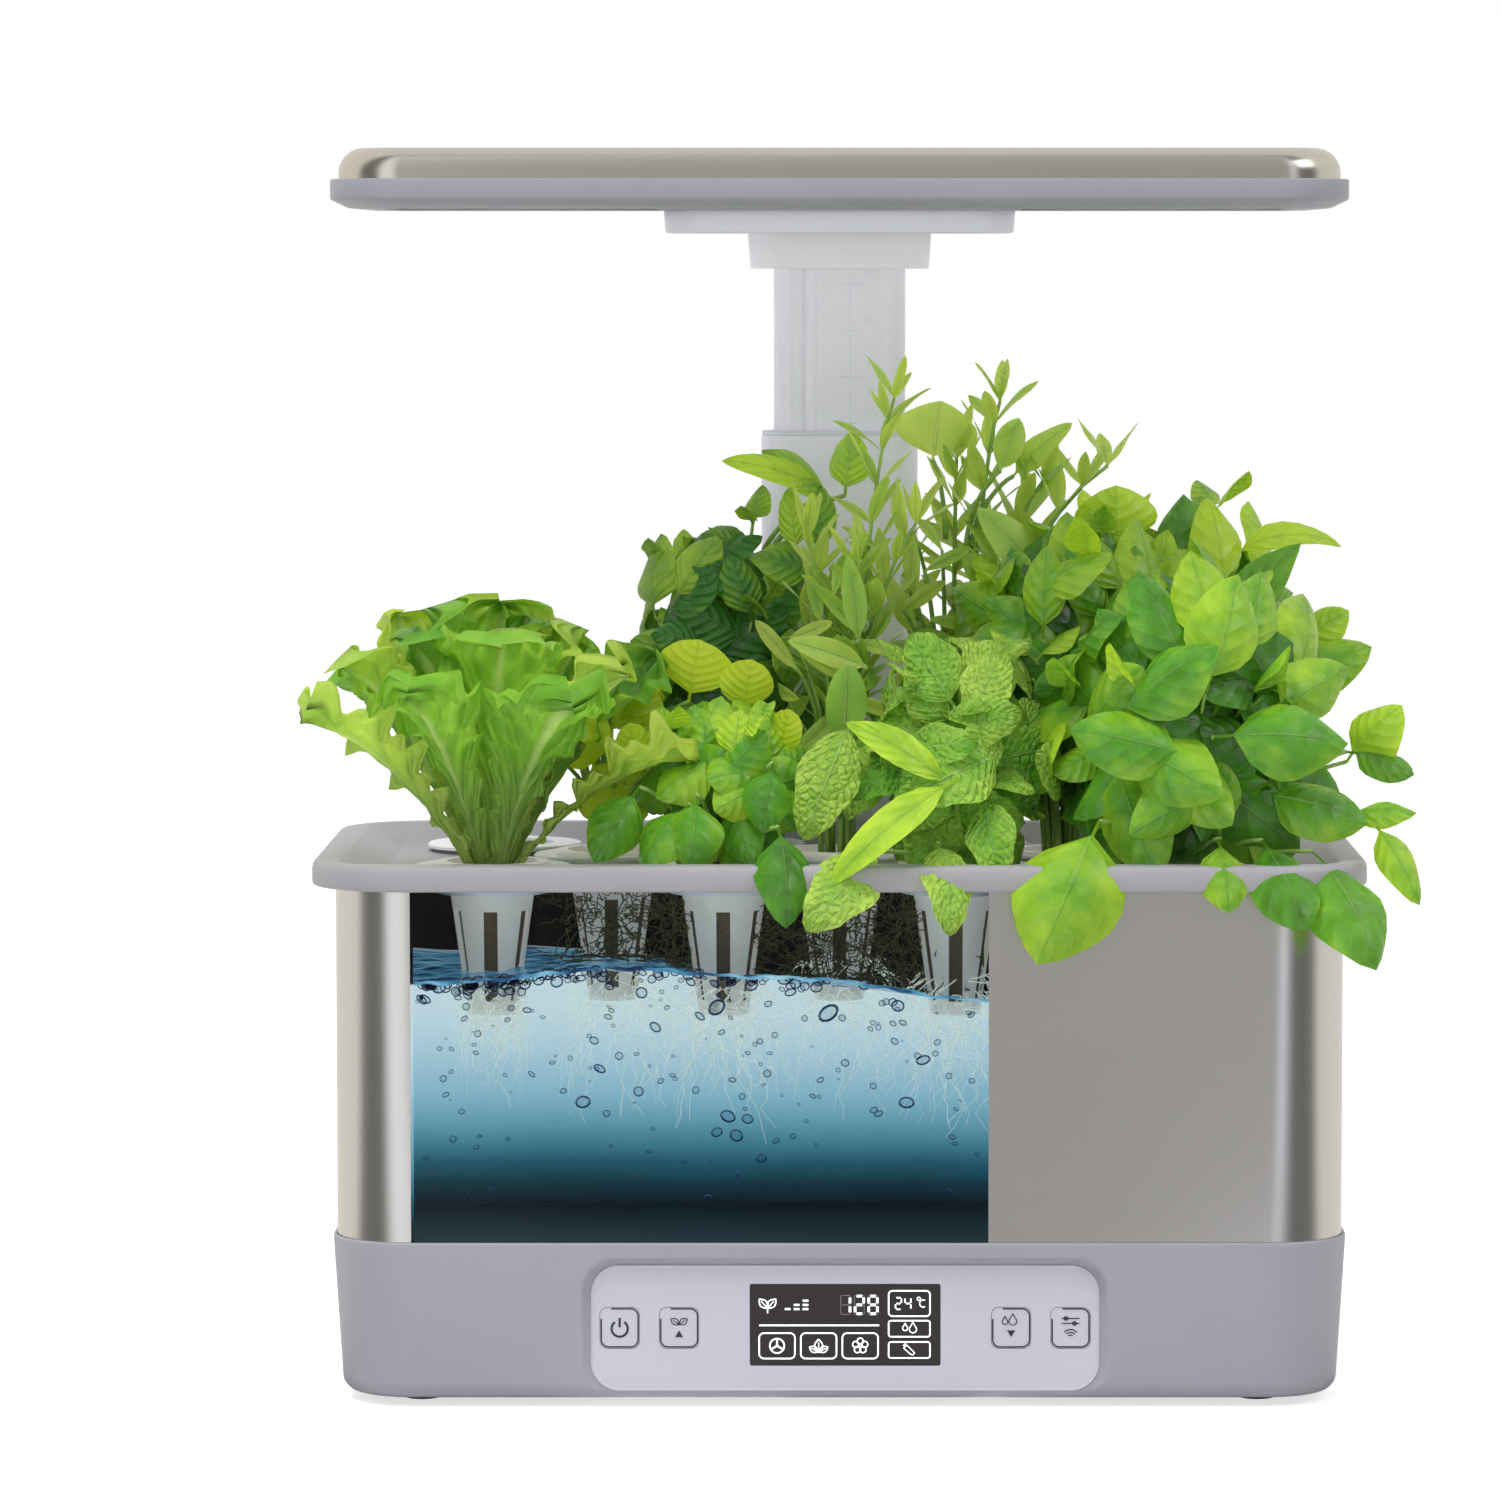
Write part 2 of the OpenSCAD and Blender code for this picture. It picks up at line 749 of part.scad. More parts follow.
// Slotted basket that hangs from its flange, with the flange's underside at z = 0
module basket() {
    color("#e9e9ec")
    difference() {
        rotate_extrude($fn = 72)
            polygon([
                [collar_r - basket_t, flange_t], [flange_r - 0.5, flange_t], [flange_r, flange_t / 2],
                [flange_r - 0.5, 0], [collar_r, 0], [collar_r, -collar_h + 1.5],
                [basket_top_r, -collar_h], [basket_foot_r, -basket_h], [2.5, -basket_h],
                [2.5, -basket_h + basket_t], [basket_foot_r - basket_t, -basket_h + basket_t],
                [basket_top_r - basket_t, -collar_h], [collar_r - basket_t, -collar_h + 1.5]
            ]);
        for (a = [0:360 / slots:359])
            rotate([0, 0, a + 90])
                translate([2.5, -slot_w / 2, -basket_h + 5])
                    cube([basket_top_r, slot_w, basket_h - collar_h - 13]);
    }
}

module sponge() {
    top = sponge_drop;
    foot = basket_h - basket_t - 0.2;
    gap = basket_t + 0.5;
    color("#6d5a45")
    translate([0, 0, -foot])
        cylinder(r1 = basket_r(foot) - gap, r2 = basket_r(collar_h) - gap, h = foot - top, $fn = 48);
}

// The part of the plan that is nearer to pod site i than to any other, less half a gap
module cell(i) {
    reach = 300;
    intersection_for (j = [0:len(pod_sites) - 1])
        if (j == i)
            square(2 * reach, center = true);
        else {
            step = pod_sites[j] - pod_sites[i];
            middle = (pod_sites[j] + pod_sites[i]) / 2;
            translate(middle)
                rotate(atan2(step[1], step[0]))
                    translate([-reach - cell_gap, -reach])
                        square([reach, 2 * reach]);
        }
}

// A plant as one closed form: a stem on its sponge and a domed crown that keeps to its own cell.
// The crown is [height of its top, half its width, height of its lower edge, lean] from the rim.
module plant(i, crown) {
    centre = pod_sites[i];
    top = rim_z + crown[0];
    low = rim_z + crown[2];
    r = crown[1];
    lean = crown[3];
    edge = min(r, top - low) / 3;
    stem_z = ring_top - sponge_drop;
    // Levels of the dome: share of the height, share of the width and share of the lean
    levels = [[0, 0.78, 1], [0.3, 1, 1], [0.65, 0.9, 0.6], [1, 0.5, 0]];
    color("#5f9c2e")
    union() {
        translate([centre[0], centre[1], stem_z])
            cylinder(r = stem_r, h = low + edge - stem_z, $fn = 24);
        intersection() {
            translate([0, 0, low])
                linear_extrude(top - low)
                    cell(i);
            hull()
                for (l = levels, a = [0:60:300])
                    translate([
                        centre[0] + lean[0] * l[2] + (r * l[1] - edge) * cos(a),
                        centre[1] + lean[1] * l[2] + (r * l[1] - edge) * sin(a),
                        low + edge + l[0] * (top - low - 2 * edge)
                    ])
                        sphere(r = edge, $fn = 16);
            // Nothing reaches past the deck's own outline
            slab(deck_w, deck_d, deck_r, low - over, top + over);
        }
    }
}

module pod_sponges() {
    for (h = herbs)
        at_site(site(h[1]))
            translate([0, 0, ring_top])
                sponge();
}

module herb_basket(k) {
    at_site(site(herbs[k][1]))
        translate([0, 0, ring_top])
            basket();
}

module herb_plant(k) {
    plant(site(herbs[k][1]), [herbs[k][2], herbs[k][3], herbs[k][4], herbs[k][5]]);
}

// ---- mast ----

module mast_foot() {
    color("#9d9fa7")
    difference() {
        translate([0, (base_d / 2 + mast_back) / 2, 0])
            slab(mast_foot_w, mast_back - base_d / 2, 6, foot_h, foot_h + mast_foot_h);
        translate([0, mast_y, 0])
            slab(sleeve_w + snug, sleeve_d + snug, sleeve_r, sleeve_z, foot_h + mast_foot_h + over);
        // The steel and the deck stand in front of the foot's upper part
        translate([-mast_foot_w, 0, base_top - over])
            cube([2 * mast_foot_w, base_d / 2 + 0.6, 40]);
    }
}

module mast_sleeve() {
    color("#c9cad2")
    translate([0, mast_y, 0])
        wall_ring(sleeve_w, sleeve_d, sleeve_r, sleeve_t, sleeve_z, sleeve_top);
}

module mast_bush() {
    gap_w = sleeve_w - 2 * sleeve_t - 2 * 0.1;
    gap_d = sleeve_d - 2 * sleeve_t - 2 * 0.1;
    color("#eceef2")
    translate([0, mast_y, 0])
        difference() {
            union() {
                slab(gap_w, gap_d, sleeve_r - sleeve_t, sleeve_top - bush_h, sleeve_top);
                slab(sleeve_w - 0.6, sleeve_d - 0.6, sleeve_r, sleeve_top, sleeve_top + 1.4);
            }
            slab(tube_w + 2 * slip, tube_d + 2 * slip, tube_r, sleeve_top - bush_h - over, sleeve_top + 2 * over);
        }
}

module mast_tube() {
    color("#c6c7d0")
    translate([0, mast_y, 0])
        difference() {
            wall_ring(tube_w, tube_d, tube_r, tube_t, tube_top - tube_l, tube_top);
            // Two long grooves in the front
            for (s = [-1, 1])
                translate([s * (tube_w / 2 - 9) - 0.8, -tube_d / 2 - over, tube_top - tube_l - over])
                    cube([1.6, over + 0.8, tube_l - tube_in_head - 2]);
        }
}

module mast_head() {
    color("#cfd0d9")
    translate([0, mast_y, 0])
        difference() {
            lofted(head_w, head_d, 10, [[0.9, head_z], [0, head_z + 1.5], [0, head_z + head_h]]);
            slab(tube_w + snug, tube_d + snug, tube_r, head_z - over, tube_top);
            translate([0, 0, tube_top - over])
                cylinder(r = lead_r + 1, h = head_h, $fn = 32);
        }
}

module lamp_bracket() {
    middle = (bracket_front + bracket_back) / 2;
    color("#b9bbc7")
    difference() {
        translate([0, middle, 0])
            lofted(bracket_w, bracket_back - bracket_front, 16,
                   [[0.8, lamp_z - bracket_h], [0, lamp_z - bracket_h + 1.2], [0, lamp_z]]);
        translate([0, mast_y, lamp_z - bracket_h - over])
            cylinder(r = lead_r + 1, h = lead_seat + over, $fn = 32);
        lamp_screw_sites()
            translate([0, 0, lamp_z - bracket_h - over]) {
                cylinder(r = screw_r + 0.1, h = bracket_h + 2 * over, $fn = 24);
                cylinder(r = screw_head_r + 0.2, h = over + 2, $fn = 24);
            }
    }
}

module lamp_screw_sites() {
    for (sx = [-1, 1], y = [bracket_front + 14, lamp_d / 2 - 16])
        translate([sx * (bracket_w / 2 - 14), y, 0])
            children();
}

module lamp_screws() {
    color("#b9bcc2")
    lamp_screw_sites()
        translate([0, 0, lamp_z - bracket_h + 0.3]) {
            cylinder(r = screw_head_r, h = 1.7, $fn = 24);
            cylinder(r = screw_r, h = bracket_h + pad_h - 1.4, $fn = 24);
        }
}

module lamp_lead() {
    color("#26272a")
    translate([0, mast_y, sleeve_z])
        cylinder(r = lead_r, h = lamp_z - bracket_h + lead_seat - sleeve_z, $fn = 32);
}

// ---- lamp ----

module lamp_rim() {
    color("#a2a3ae")
    difference() {
        union() {
            difference() {
                lofted(lamp_w, lamp_d, lamp_r, [[6.8, lamp_z], [0, lamp_z + rim_chamfer], [0, cover_z]]);
                // Opening below the glass, the glass's seat and the board's seat
                slab(glass_w - 6, glass_d - 6, lamp_r - 15, lamp_z - over, cover_z + over);
                slab(glass_w + 2 * snug, glass_d + 2 * snug, lamp_r - 12, glass_z, cover_z + over);
                slab(board_w + 2 * snug, board_d + 2 * snug, lamp_r - 8, led_z, cover_z + over);
            }
            // Pad that the bracket is screwed to
            translate([-pad_w / 2, bracket_front - 2, lamp_z])
                cube([pad_w, glass_d / 2 + 4 - bracket_front, pad_h]);
        }
        slab(cover_w + 2 * snug, cover_d + 2 * snug, cover_r + snug, cover_z - cover_seat, cover_z + over);
        lamp_screw_sites()
            translate([0, 0, lamp_z - over])
                cylinder(r = screw_r + 0.05, h = pad_h + 2 * over, $fn = 24);
    }
}

module lamp_cover() {
    edge_steps = [
        for (a = [0:22.5:90])
            [cover_edge * (1 - cos(a)), cover_z + cover_h - cover_edge * (1 - sin(a))]
    ];
    color("#b9b5a8")
    difference() {
        lofted(cover_w, cover_d, cover_r, concat([[0, cover_z - cover_seat]], edge_steps));
        // The inside follows the rounded edge in three steps
        for (s = [[0, cover_edge], [0.5, cover_edge * 0.5], [1, 0]])
            let (inset = cover_t_sheet + s[0] * (cover_edge - cover_t_sheet))
                slab(cover_w - 2 * inset, cover_d - 2 * inset, cover_r - inset,
                     cover_z - cover_seat - over, cover_z + cover_h - cover_t_sheet - s[1]);
    }
}

module diffuser() {
    color([0.92, 0.93, 0.95, 0.55])
    difference() {
        slab(glass_w, glass_d, lamp_r - 12, glass_z, glass_z + glass_t);
        translate([-pad_w / 2 - snug, bracket_front - 2 - snug, glass_z - over])
            cube([pad_w + 2 * snug, glass_d, glass_t + 2 * over]);
    }
}

module led_board() {
    color("#e8e9ea")
    slab(board_w, board_d, lamp_r - 8, led_z, led_z + led_t);
}

module led_chips() {
    step_x = (glass_w - 40) / (led_cols - 1);
    step_y = (glass_d - 40) / (led_rows - 1);
    color("#f1d26a")
    for (i = [0:led_cols - 1], j = [0:led_rows - 1])
        translate([(20 - glass_w / 2) + i * step_x, (20 - glass_d / 2) + j * step_y, led_z - 0.5])
            cube([led_size, led_size, 1], center = true);
}

// ---- assembly ----

module place(name) {
    translate([0, frame_y, 0])
            children();
}

place("base_shell") base_shell();
place("bottom_cover") bottom_cover();
place("case_screws") case_screws();
place("rubber_feet") rubber_feet();
place("control_panel") control_panel();
place("display_lens") display_lens();
place("control_board") control_board();
for (i = [0:3])
    place(key_names[i]) key(i);
place("steel_sleeve") steel_sleeve();
place("window_pane") window_pane();
place("water_tank") water_tank();
place("pump_body") pump_body();
place("pump_cover") pump_cover();
place("pump_impeller") pump_impeller();
place("level_sensor") level_sensor();
place("dc_socket") dc_socket();
place("mast_foot") mast_foot();
place("mast_sleeve") mast_sleeve();
place("mast_bush") mast_bush();
place("mast_tube") mast_tube();
place("mast_head") mast_head();
place("lamp_bracket") lamp_bracket();
place("lamp_rim") lamp_rim();
place("lamp_cover") lamp_cover();
place("led_board") led_board();
place("led_chips") led_chips();
place("diffuser") diffuser();
place("lamp_screws") lamp_screws();
place("lamp_lead") lamp_lead();
place("grow_deck") grow_deck();
place("herb_rings") for (h = herbs) at_site(site(h[1])) planting_ring();
place("lettuce_ring") at_site(site(lettuce_site)) planting_ring();
place("spare_ring") at_site(site(spare_site)) planting_ring();
place("fill_door") fill_door();
place("fill_door_pin") fill_door_pin();
place("pod_sponges") pod_sponges();
place("lettuce_basket") at_site(site(lettuce_site)) translate([0, 0, ring_top]) basket();
place("lettuce_sponge") at_site(site(lettuce_site)) translate([0, 0, ring_top]) sponge();
place("lettuce_plant") plant(site(lettuce_site), lettuce_crown);
for (k = [0:len(herbs) - 1]) {
    place(str(herbs[k][0], "_basket")) herb_basket(k);
    place(str(herbs[k][0], "_plant")) herb_plant(k);
}
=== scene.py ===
"""Dresses the countertop hydroponic garden: shells, controls, water, mast, lamp and herbs.

Lengths in the code are millimetres unless a name ends in _m. X runs to the right, the front
faces -Y and Z is up.
"""

from __future__ import annotations

import json
import logging
import math
from dataclasses import dataclass, field
from enum import Enum
from typing import Any, Callable, Sequence

import bpy
import numpy as np
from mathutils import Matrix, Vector


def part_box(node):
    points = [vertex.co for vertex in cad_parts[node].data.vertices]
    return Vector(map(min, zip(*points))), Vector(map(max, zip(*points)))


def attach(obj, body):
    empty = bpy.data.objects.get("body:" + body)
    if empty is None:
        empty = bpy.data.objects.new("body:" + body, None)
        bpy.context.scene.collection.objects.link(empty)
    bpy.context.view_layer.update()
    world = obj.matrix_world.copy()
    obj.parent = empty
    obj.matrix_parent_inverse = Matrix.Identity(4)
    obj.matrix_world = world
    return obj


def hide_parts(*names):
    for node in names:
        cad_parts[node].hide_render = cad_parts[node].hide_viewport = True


Array = np.ndarray
Node = bpy.types.Node
Socket = bpy.types.NodeSocket
Material = bpy.types.Material
Pair = tuple[float, float]
Triple = tuple[float, float, float]
Colour = tuple[float, float, float, float]
Outline = Sequence[Pair]
LOG = logging.getLogger("garden")
MM = 0.001
SEED = 20240611
GOLDEN = 2.399963  # golden angle, in radians
THIRDS = np.linspace(0, 2 * math.pi, 3, endpoint=False)  # angles of a three-sided section
PITCH = 84.0  # from one planting place to the next along X
ROW = 49.0  # from one row of places to the next along Y
SHARP_SIGN = 30  # edges of a sign's strokes that are sharper than this stay sharp, in degrees

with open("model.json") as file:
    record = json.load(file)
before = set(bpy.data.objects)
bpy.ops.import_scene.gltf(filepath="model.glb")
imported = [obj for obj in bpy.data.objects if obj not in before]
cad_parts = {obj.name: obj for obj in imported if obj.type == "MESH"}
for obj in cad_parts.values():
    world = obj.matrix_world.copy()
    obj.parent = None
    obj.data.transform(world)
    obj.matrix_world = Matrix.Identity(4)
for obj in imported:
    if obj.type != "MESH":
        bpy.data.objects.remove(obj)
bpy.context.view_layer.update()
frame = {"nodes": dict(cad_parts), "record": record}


# ---- Shapes ----


@dataclass
class Surface:
    """A bundle of points and faces, with one material slot and optional point values."""

    points: Array
    quads: Array
    polygons: list[list[int]] = field(default_factory=list)
    slot: int = 0
    values: dict[str, Array] = field(default_factory=dict)

    @classmethod
    def grid(
        cls,
        points: Array,
        wrap_rows: bool = False,
        wrap_columns: bool = False,
        caps: bool = False,
        slot: int = 0,
        values: dict[str, Array] | None = None,
    ) -> "Surface":
        """Joins a grid of points (rows, columns, 3) into quads between neighbouring points.

        Args:
            points: The grid. Its faces look along row step x column step.
            wrap_rows: Whether the last row joins the first.
            wrap_columns: Whether the last column joins the first.
            caps: Whether the first and last rows are closed with flat polygons.
            slot: Material slot of every face.
            values: Named point values, each shaped (rows, columns).

        Returns:
            The surface.
        """
        rows, columns = points.shape[:2]
        index = np.arange(rows * columns).reshape(rows, columns)
        a = index if wrap_rows else index[:-1]
        b = np.roll(index, -1, axis=0) if wrap_rows else index[1:]
        if wrap_columns:
            a_next, b_next = np.roll(a, -1, axis=1), np.roll(b, -1, axis=1)
        else:
            a, a_next = a[:, :-1], a[:, 1:]
            b, b_next = b[:, :-1], b[:, 1:]
        quads = np.stack([a, b, b_next, a_next], axis=-1).reshape(-1, 4)
        polygons = []
        if caps:
            polygons = [index[0].tolist(), index[-1][::-1].tolist()]
        flat = {key: value.reshape(-1) for key, value in (values or {}).items()}
        return cls(points.reshape(-1, 3), quads, polygons, slot, flat)

    @classmethod
    def many(
        cls, points: Array, wrap_columns: bool = False, values: dict[str, Array] | None = None
    ) -> "Surface":
        """Joins a stack of equal grids (copies, rows, columns, 3) at once.

        Args:
            points: The grids.
            wrap_columns: Whether each grid's last column joins its first.
            values: Named point values, each shaped (copies, rows, columns).

        Returns:
            One surface that holds all of them.
        """
        copies, rows, columns = points.shape[:3]
        one = cls.grid(points[0], wrap_columns=wrap_columns)
        steps = (np.arange(copies) * rows * columns)[:, None, None]
        quads = (one.quads[None] + steps).reshape(-1, 4)
        flat = {key: value.reshape(-1) for key, value in (values or {}).items()}
        return cls(points.reshape(-1, 3), quads, values=flat)

    def flipped(self) -> "Surface":
        """The same surface with its faces turned round."""
        turned = [polygon[::-1] for polygon in self.polygons]
        return Surface(self.points, self.quads[:, ::-1], turned, self.slot, self.values)


def build(
    name: str,
    surfaces: Sequence[Surface],
    materials: Sequence[Material],
    smooth_deg: float = 180.0,
) -> bpy.types.Object:
    """Puts surfaces, in millimetres, into one mesh object at the origin.

    Args:
        name: The piece's name.
        surfaces: What it is made of.
        materials: One material for each slot that the surfaces name.
        smooth_deg: Edges sharper than this stay sharp; 180 smooths all of them.

    Returns:
        The new object.
    """
    offsets = np.cumsum([0] + [len(s.points) for s in surfaces])
    points = np.concatenate([s.points for s in surfaces]) * MM
    faces: list[list[int]] = []
    slots: list[int] = []
    for surface, start in zip(surfaces, offsets):
        faces += (surface.quads + start).tolist()
        faces += [[index + int(start) for index in polygon] for polygon in surface.polygons]
        slots += [surface.slot] * (len(surface.quads) + len(surface.polygons))
    mesh = bpy.data.meshes.new(name)
    mesh.from_pydata(points.tolist(), [], faces)
    mesh.polygons.foreach_set("material_index", np.array(slots, dtype=np.int32))
    for key in sorted({key for s in surfaces for key in s.values}):
        layer = mesh.attributes.new(key, "FLOAT", "POINT")
        parts = [s.values.get(key, np.zeros(len(s.points))) for s in surfaces]
        layer.data.foreach_set("value", np.concatenate(parts).astype(np.float32))
    for material in materials:
        mesh.materials.append(material)
    mesh.polygons.foreach_set("use_smooth", np.ones(len(mesh.polygons), dtype=bool))
    mesh.update()
    if smooth_deg < 180:
        mesh.set_sharp_from_angle(angle=math.radians(smooth_deg))
    piece = bpy.data.objects.new(name, mesh)
    bpy.context.scene.collection.objects.link(piece)
    return piece


def ring(w: float, d: float, r: float, arc: int, along: tuple[int, int] = (1, 1)) -> Array:
    """Points of a rounded rectangle, anticlockwise from its front right corner.

    Each corner is r times (cos a, sin a) about its own centre over a quarter turn, and each
    straight side is a linear blend between two corners.

    Args:
        w: Width along X.
        d: Depth along Y.
        r: Corner radius.
        arc: Steps in each corner.
        along: Steps in the sides along X and along Y.

    Returns:
        The points, shaped (n, 2).
    """
    parts = []
    signs = [(1, -1), (1, 1), (-1, 1), (-1, -1)]
    for quarter, (sx, sy) in enumerate(signs):
        turn = np.radians(-90 + 90 * quarter + np.linspace(0, 90, arc + 1))
        centre = np.array([sx * (w / 2 - r), sy * (d / 2 - r)])
        corner = centre + r * np.stack([np.cos(turn), np.sin(turn)], axis=1)
        next_sx, next_sy = signs[(quarter + 1) % 4]
        end = np.radians(90 * quarter)
        following = np.array([
            next_sx * (w / 2 - r) + r * np.cos(end), next_sy * (d / 2 - r) + r * np.sin(end)
        ])
        share = np.linspace(0, 1, along[(quarter + 1) % 2] + 1)[1:-1, None]
        parts += [corner, corner[-1] * (1 - share) + following * share]
    return np.concatenate(parts)


def at_height(flat: Array, z: float) -> Array:
    """Points (n, 2) set at one height."""
    return np.column_stack([flat, np.full(len(flat), z)])


def smooth_step(share: Array) -> Array:
    """3 s^2 - 2 s^3 of a share that is held between 0 and 1."""
    share = np.clip(share, 0, 1)
    return share * share * (3 - 2 * share)


def unit(vectors: Array) -> Array:
    """Vectors brought to a length of one along their last axis."""
    return vectors / (np.linalg.norm(vectors, axis=-1, keepdims=True) + 1e-12)


def square_to(way: Array, side: Array) -> Array:
    """The direction nearest to side that is square to a unit vector."""
    return unit(side - way * float(side @ way))


def outward(turn: float) -> Array:
    """Level unit vector at an angle from X."""
    return np.array([math.cos(turn), math.sin(turn), 0.0])


def opened(path: Array, keep: Array) -> Array:
    """The kept points of a closed path, in their order, from the end of the gap to its start."""
    first = int(np.argmin(keep))
    return np.roll(path, -first, axis=0)[np.roll(keep, -first)]


def carried(path: Array, section: Outline, closed: bool) -> Array:
    """Carries a section along a flat path, square to it.

    Args:
        path: Points (n, 2).
        section: Pairs of the way to the right of the path and the third coordinate.
        closed: Whether the path ends where it begins.

    Returns:
        The points, shaped (n, length of the section, 3).
    """
    if closed:
        tangent = unit(np.roll(path, -1, axis=0) - np.roll(path, 1, axis=0))
    else:
        tangent = unit(np.gradient(path, axis=0))
    right = np.column_stack([tangent[:, 1], -tangent[:, 0]])
    return np.stack([at_height(path + off * right, third) for off, third in section], axis=1)


def stack(
    w: float,
    d: float,
    r: float,
    profile: Outline,
    centre: Pair = (0.0, 0.0),
    closed: bool = False,
    caps: bool = True,
    arc: int = 12,
    along: tuple[int, int] = (1, 1),
) -> Surface:
    """Carries a profile of (inset, height) round a rounded rectangle.

    Args:
        w: Width at no inset.
        d: Depth at no inset.
        r: Corner radius at no inset.
        profile: Steps from the lowest up; an inset draws the outline in on all sides.
        centre: Middle of the outline.
        closed: Whether the last step joins the first, as in a frame.
        caps: Whether the ends are closed.
        arc: Steps in each corner.
        along: Steps in the sides along X and Y.

    Returns:
        The surface, with its faces outwards.
    """
    rows = []
    for inset, height in profile:
        flat = ring(w - 2 * inset, d - 2 * inset, max(r - inset, 0.4), arc, along) + centre
        rows.append(at_height(flat, height))
    return Surface.grid(np.stack(rows)[:, ::-1], closed, True, caps and not closed)


def rounded_edge(inset: float, z: float, radius: float, upper: bool, steps: int = 5) -> list[Pair]:
    """Quarter circle of a profile's edge: inset + r(1 - cos a), z -/+ r(1 - sin a).

    Args:
        inset: Inset of the upright side.
        z: Height of the flat side.
        radius: Radius of the edge.
        upper: Whether it is an upper edge.
        steps: Steps round it.

    Returns:
        Profile steps from the lowest up.
    """
    turn = np.linspace(0, math.pi / 2, steps + 1)
    sign = -1 if upper else 1
    out = [(inset + radius * (1 - math.cos(a)), z + sign * radius * (1 - math.sin(a))) for a in turn]
    return out if upper else out[::-1]


def tube(path: Array, radius: Array | float, sides: int = 6, slot: int = 0) -> Surface:
    """Round section carried along a path, square to it.

    The section's first axis is square to X too where the path stands upright, and to Z elsewhere.

    Args:
        path: Points (n, 3).
        radius: One radius or one for each point.
        sides: Points round the section.
        slot: Material slot.

    Returns:
        A closed tube.
    """
    tangent = unit(np.gradient(path, axis=0))
    steep = np.abs(tangent[:, 2:3])
    upright = (steep > 0.9) | (steep.mean() > 0.6)
    side = unit(np.cross(tangent, np.where(upright, [[1.0, 0.0, 0.0]], [[0.0, 0.0, 1.0]])))
    other = np.cross(side, tangent)
    turn = np.linspace(0, 2 * math.pi, sides, endpoint=False)[:, None]
    reach = np.broadcast_to(np.asarray(radius, dtype=float), (len(path),))[:, None, None]
    section = np.cos(turn) * side[:, None] + np.sin(turn) * other[:, None]
    return Surface.grid((path[:, None] + reach * section)[:, ::-1], False, True, True, slot)


def ribbon(path: Array, width: float, y_front: float, depth: float, closed: bool, slot: int = 0) -> Surface:
    """Flat stroke on an upright face: a rectangular section carried along a path in X and Z.

    Args:
        path: Points (n, 2) in X and Z.
        width: Width of the stroke.
        y_front: Where its front lies.
        depth: How deep it is.
        closed: Whether the path ends where it begins.
        slot: Material slot.

    Returns:
        A closed stroke.
    """
    half, y_back = width / 2, y_front + depth
    section = [(half, y_front), (-half, y_front), (-half, y_back), (half, y_back)]
    grid = carried(path, section, closed)[:, ::-1, [0, 2, 1]]
    return Surface.grid(grid, closed, True, not closed, slot)


def plate(outline: Array, y_front: float, depth: float) -> Surface:
    """Solid plate on an upright face, from an anticlockwise outline in X and Z."""
    rows = [at_height(outline, y)[:, [0, 2, 1]] for y in (y_front + depth, y_front)]
    return Surface.grid(np.stack(rows)[:, ::-1], False, True, True).flipped()


def polyline(corners: Outline, step: float = 0.4) -> Array:
    """Points along straight runs between corners, no further apart than step."""
    out = []
    for (x0, z0), (x1, z1) in zip(corners, corners[1:]):
        count = max(2, int(math.hypot(x1 - x0, z1 - z0) / step) + 1)
        share = np.linspace(0, 1, count)[:-1, None]
        out.append(np.array([x0, z0]) * (1 - share) + np.array([x1, z1]) * share)
    out.append(np.array([corners[-1]]))
    return np.concatenate(out)


# ---- Finishes ----


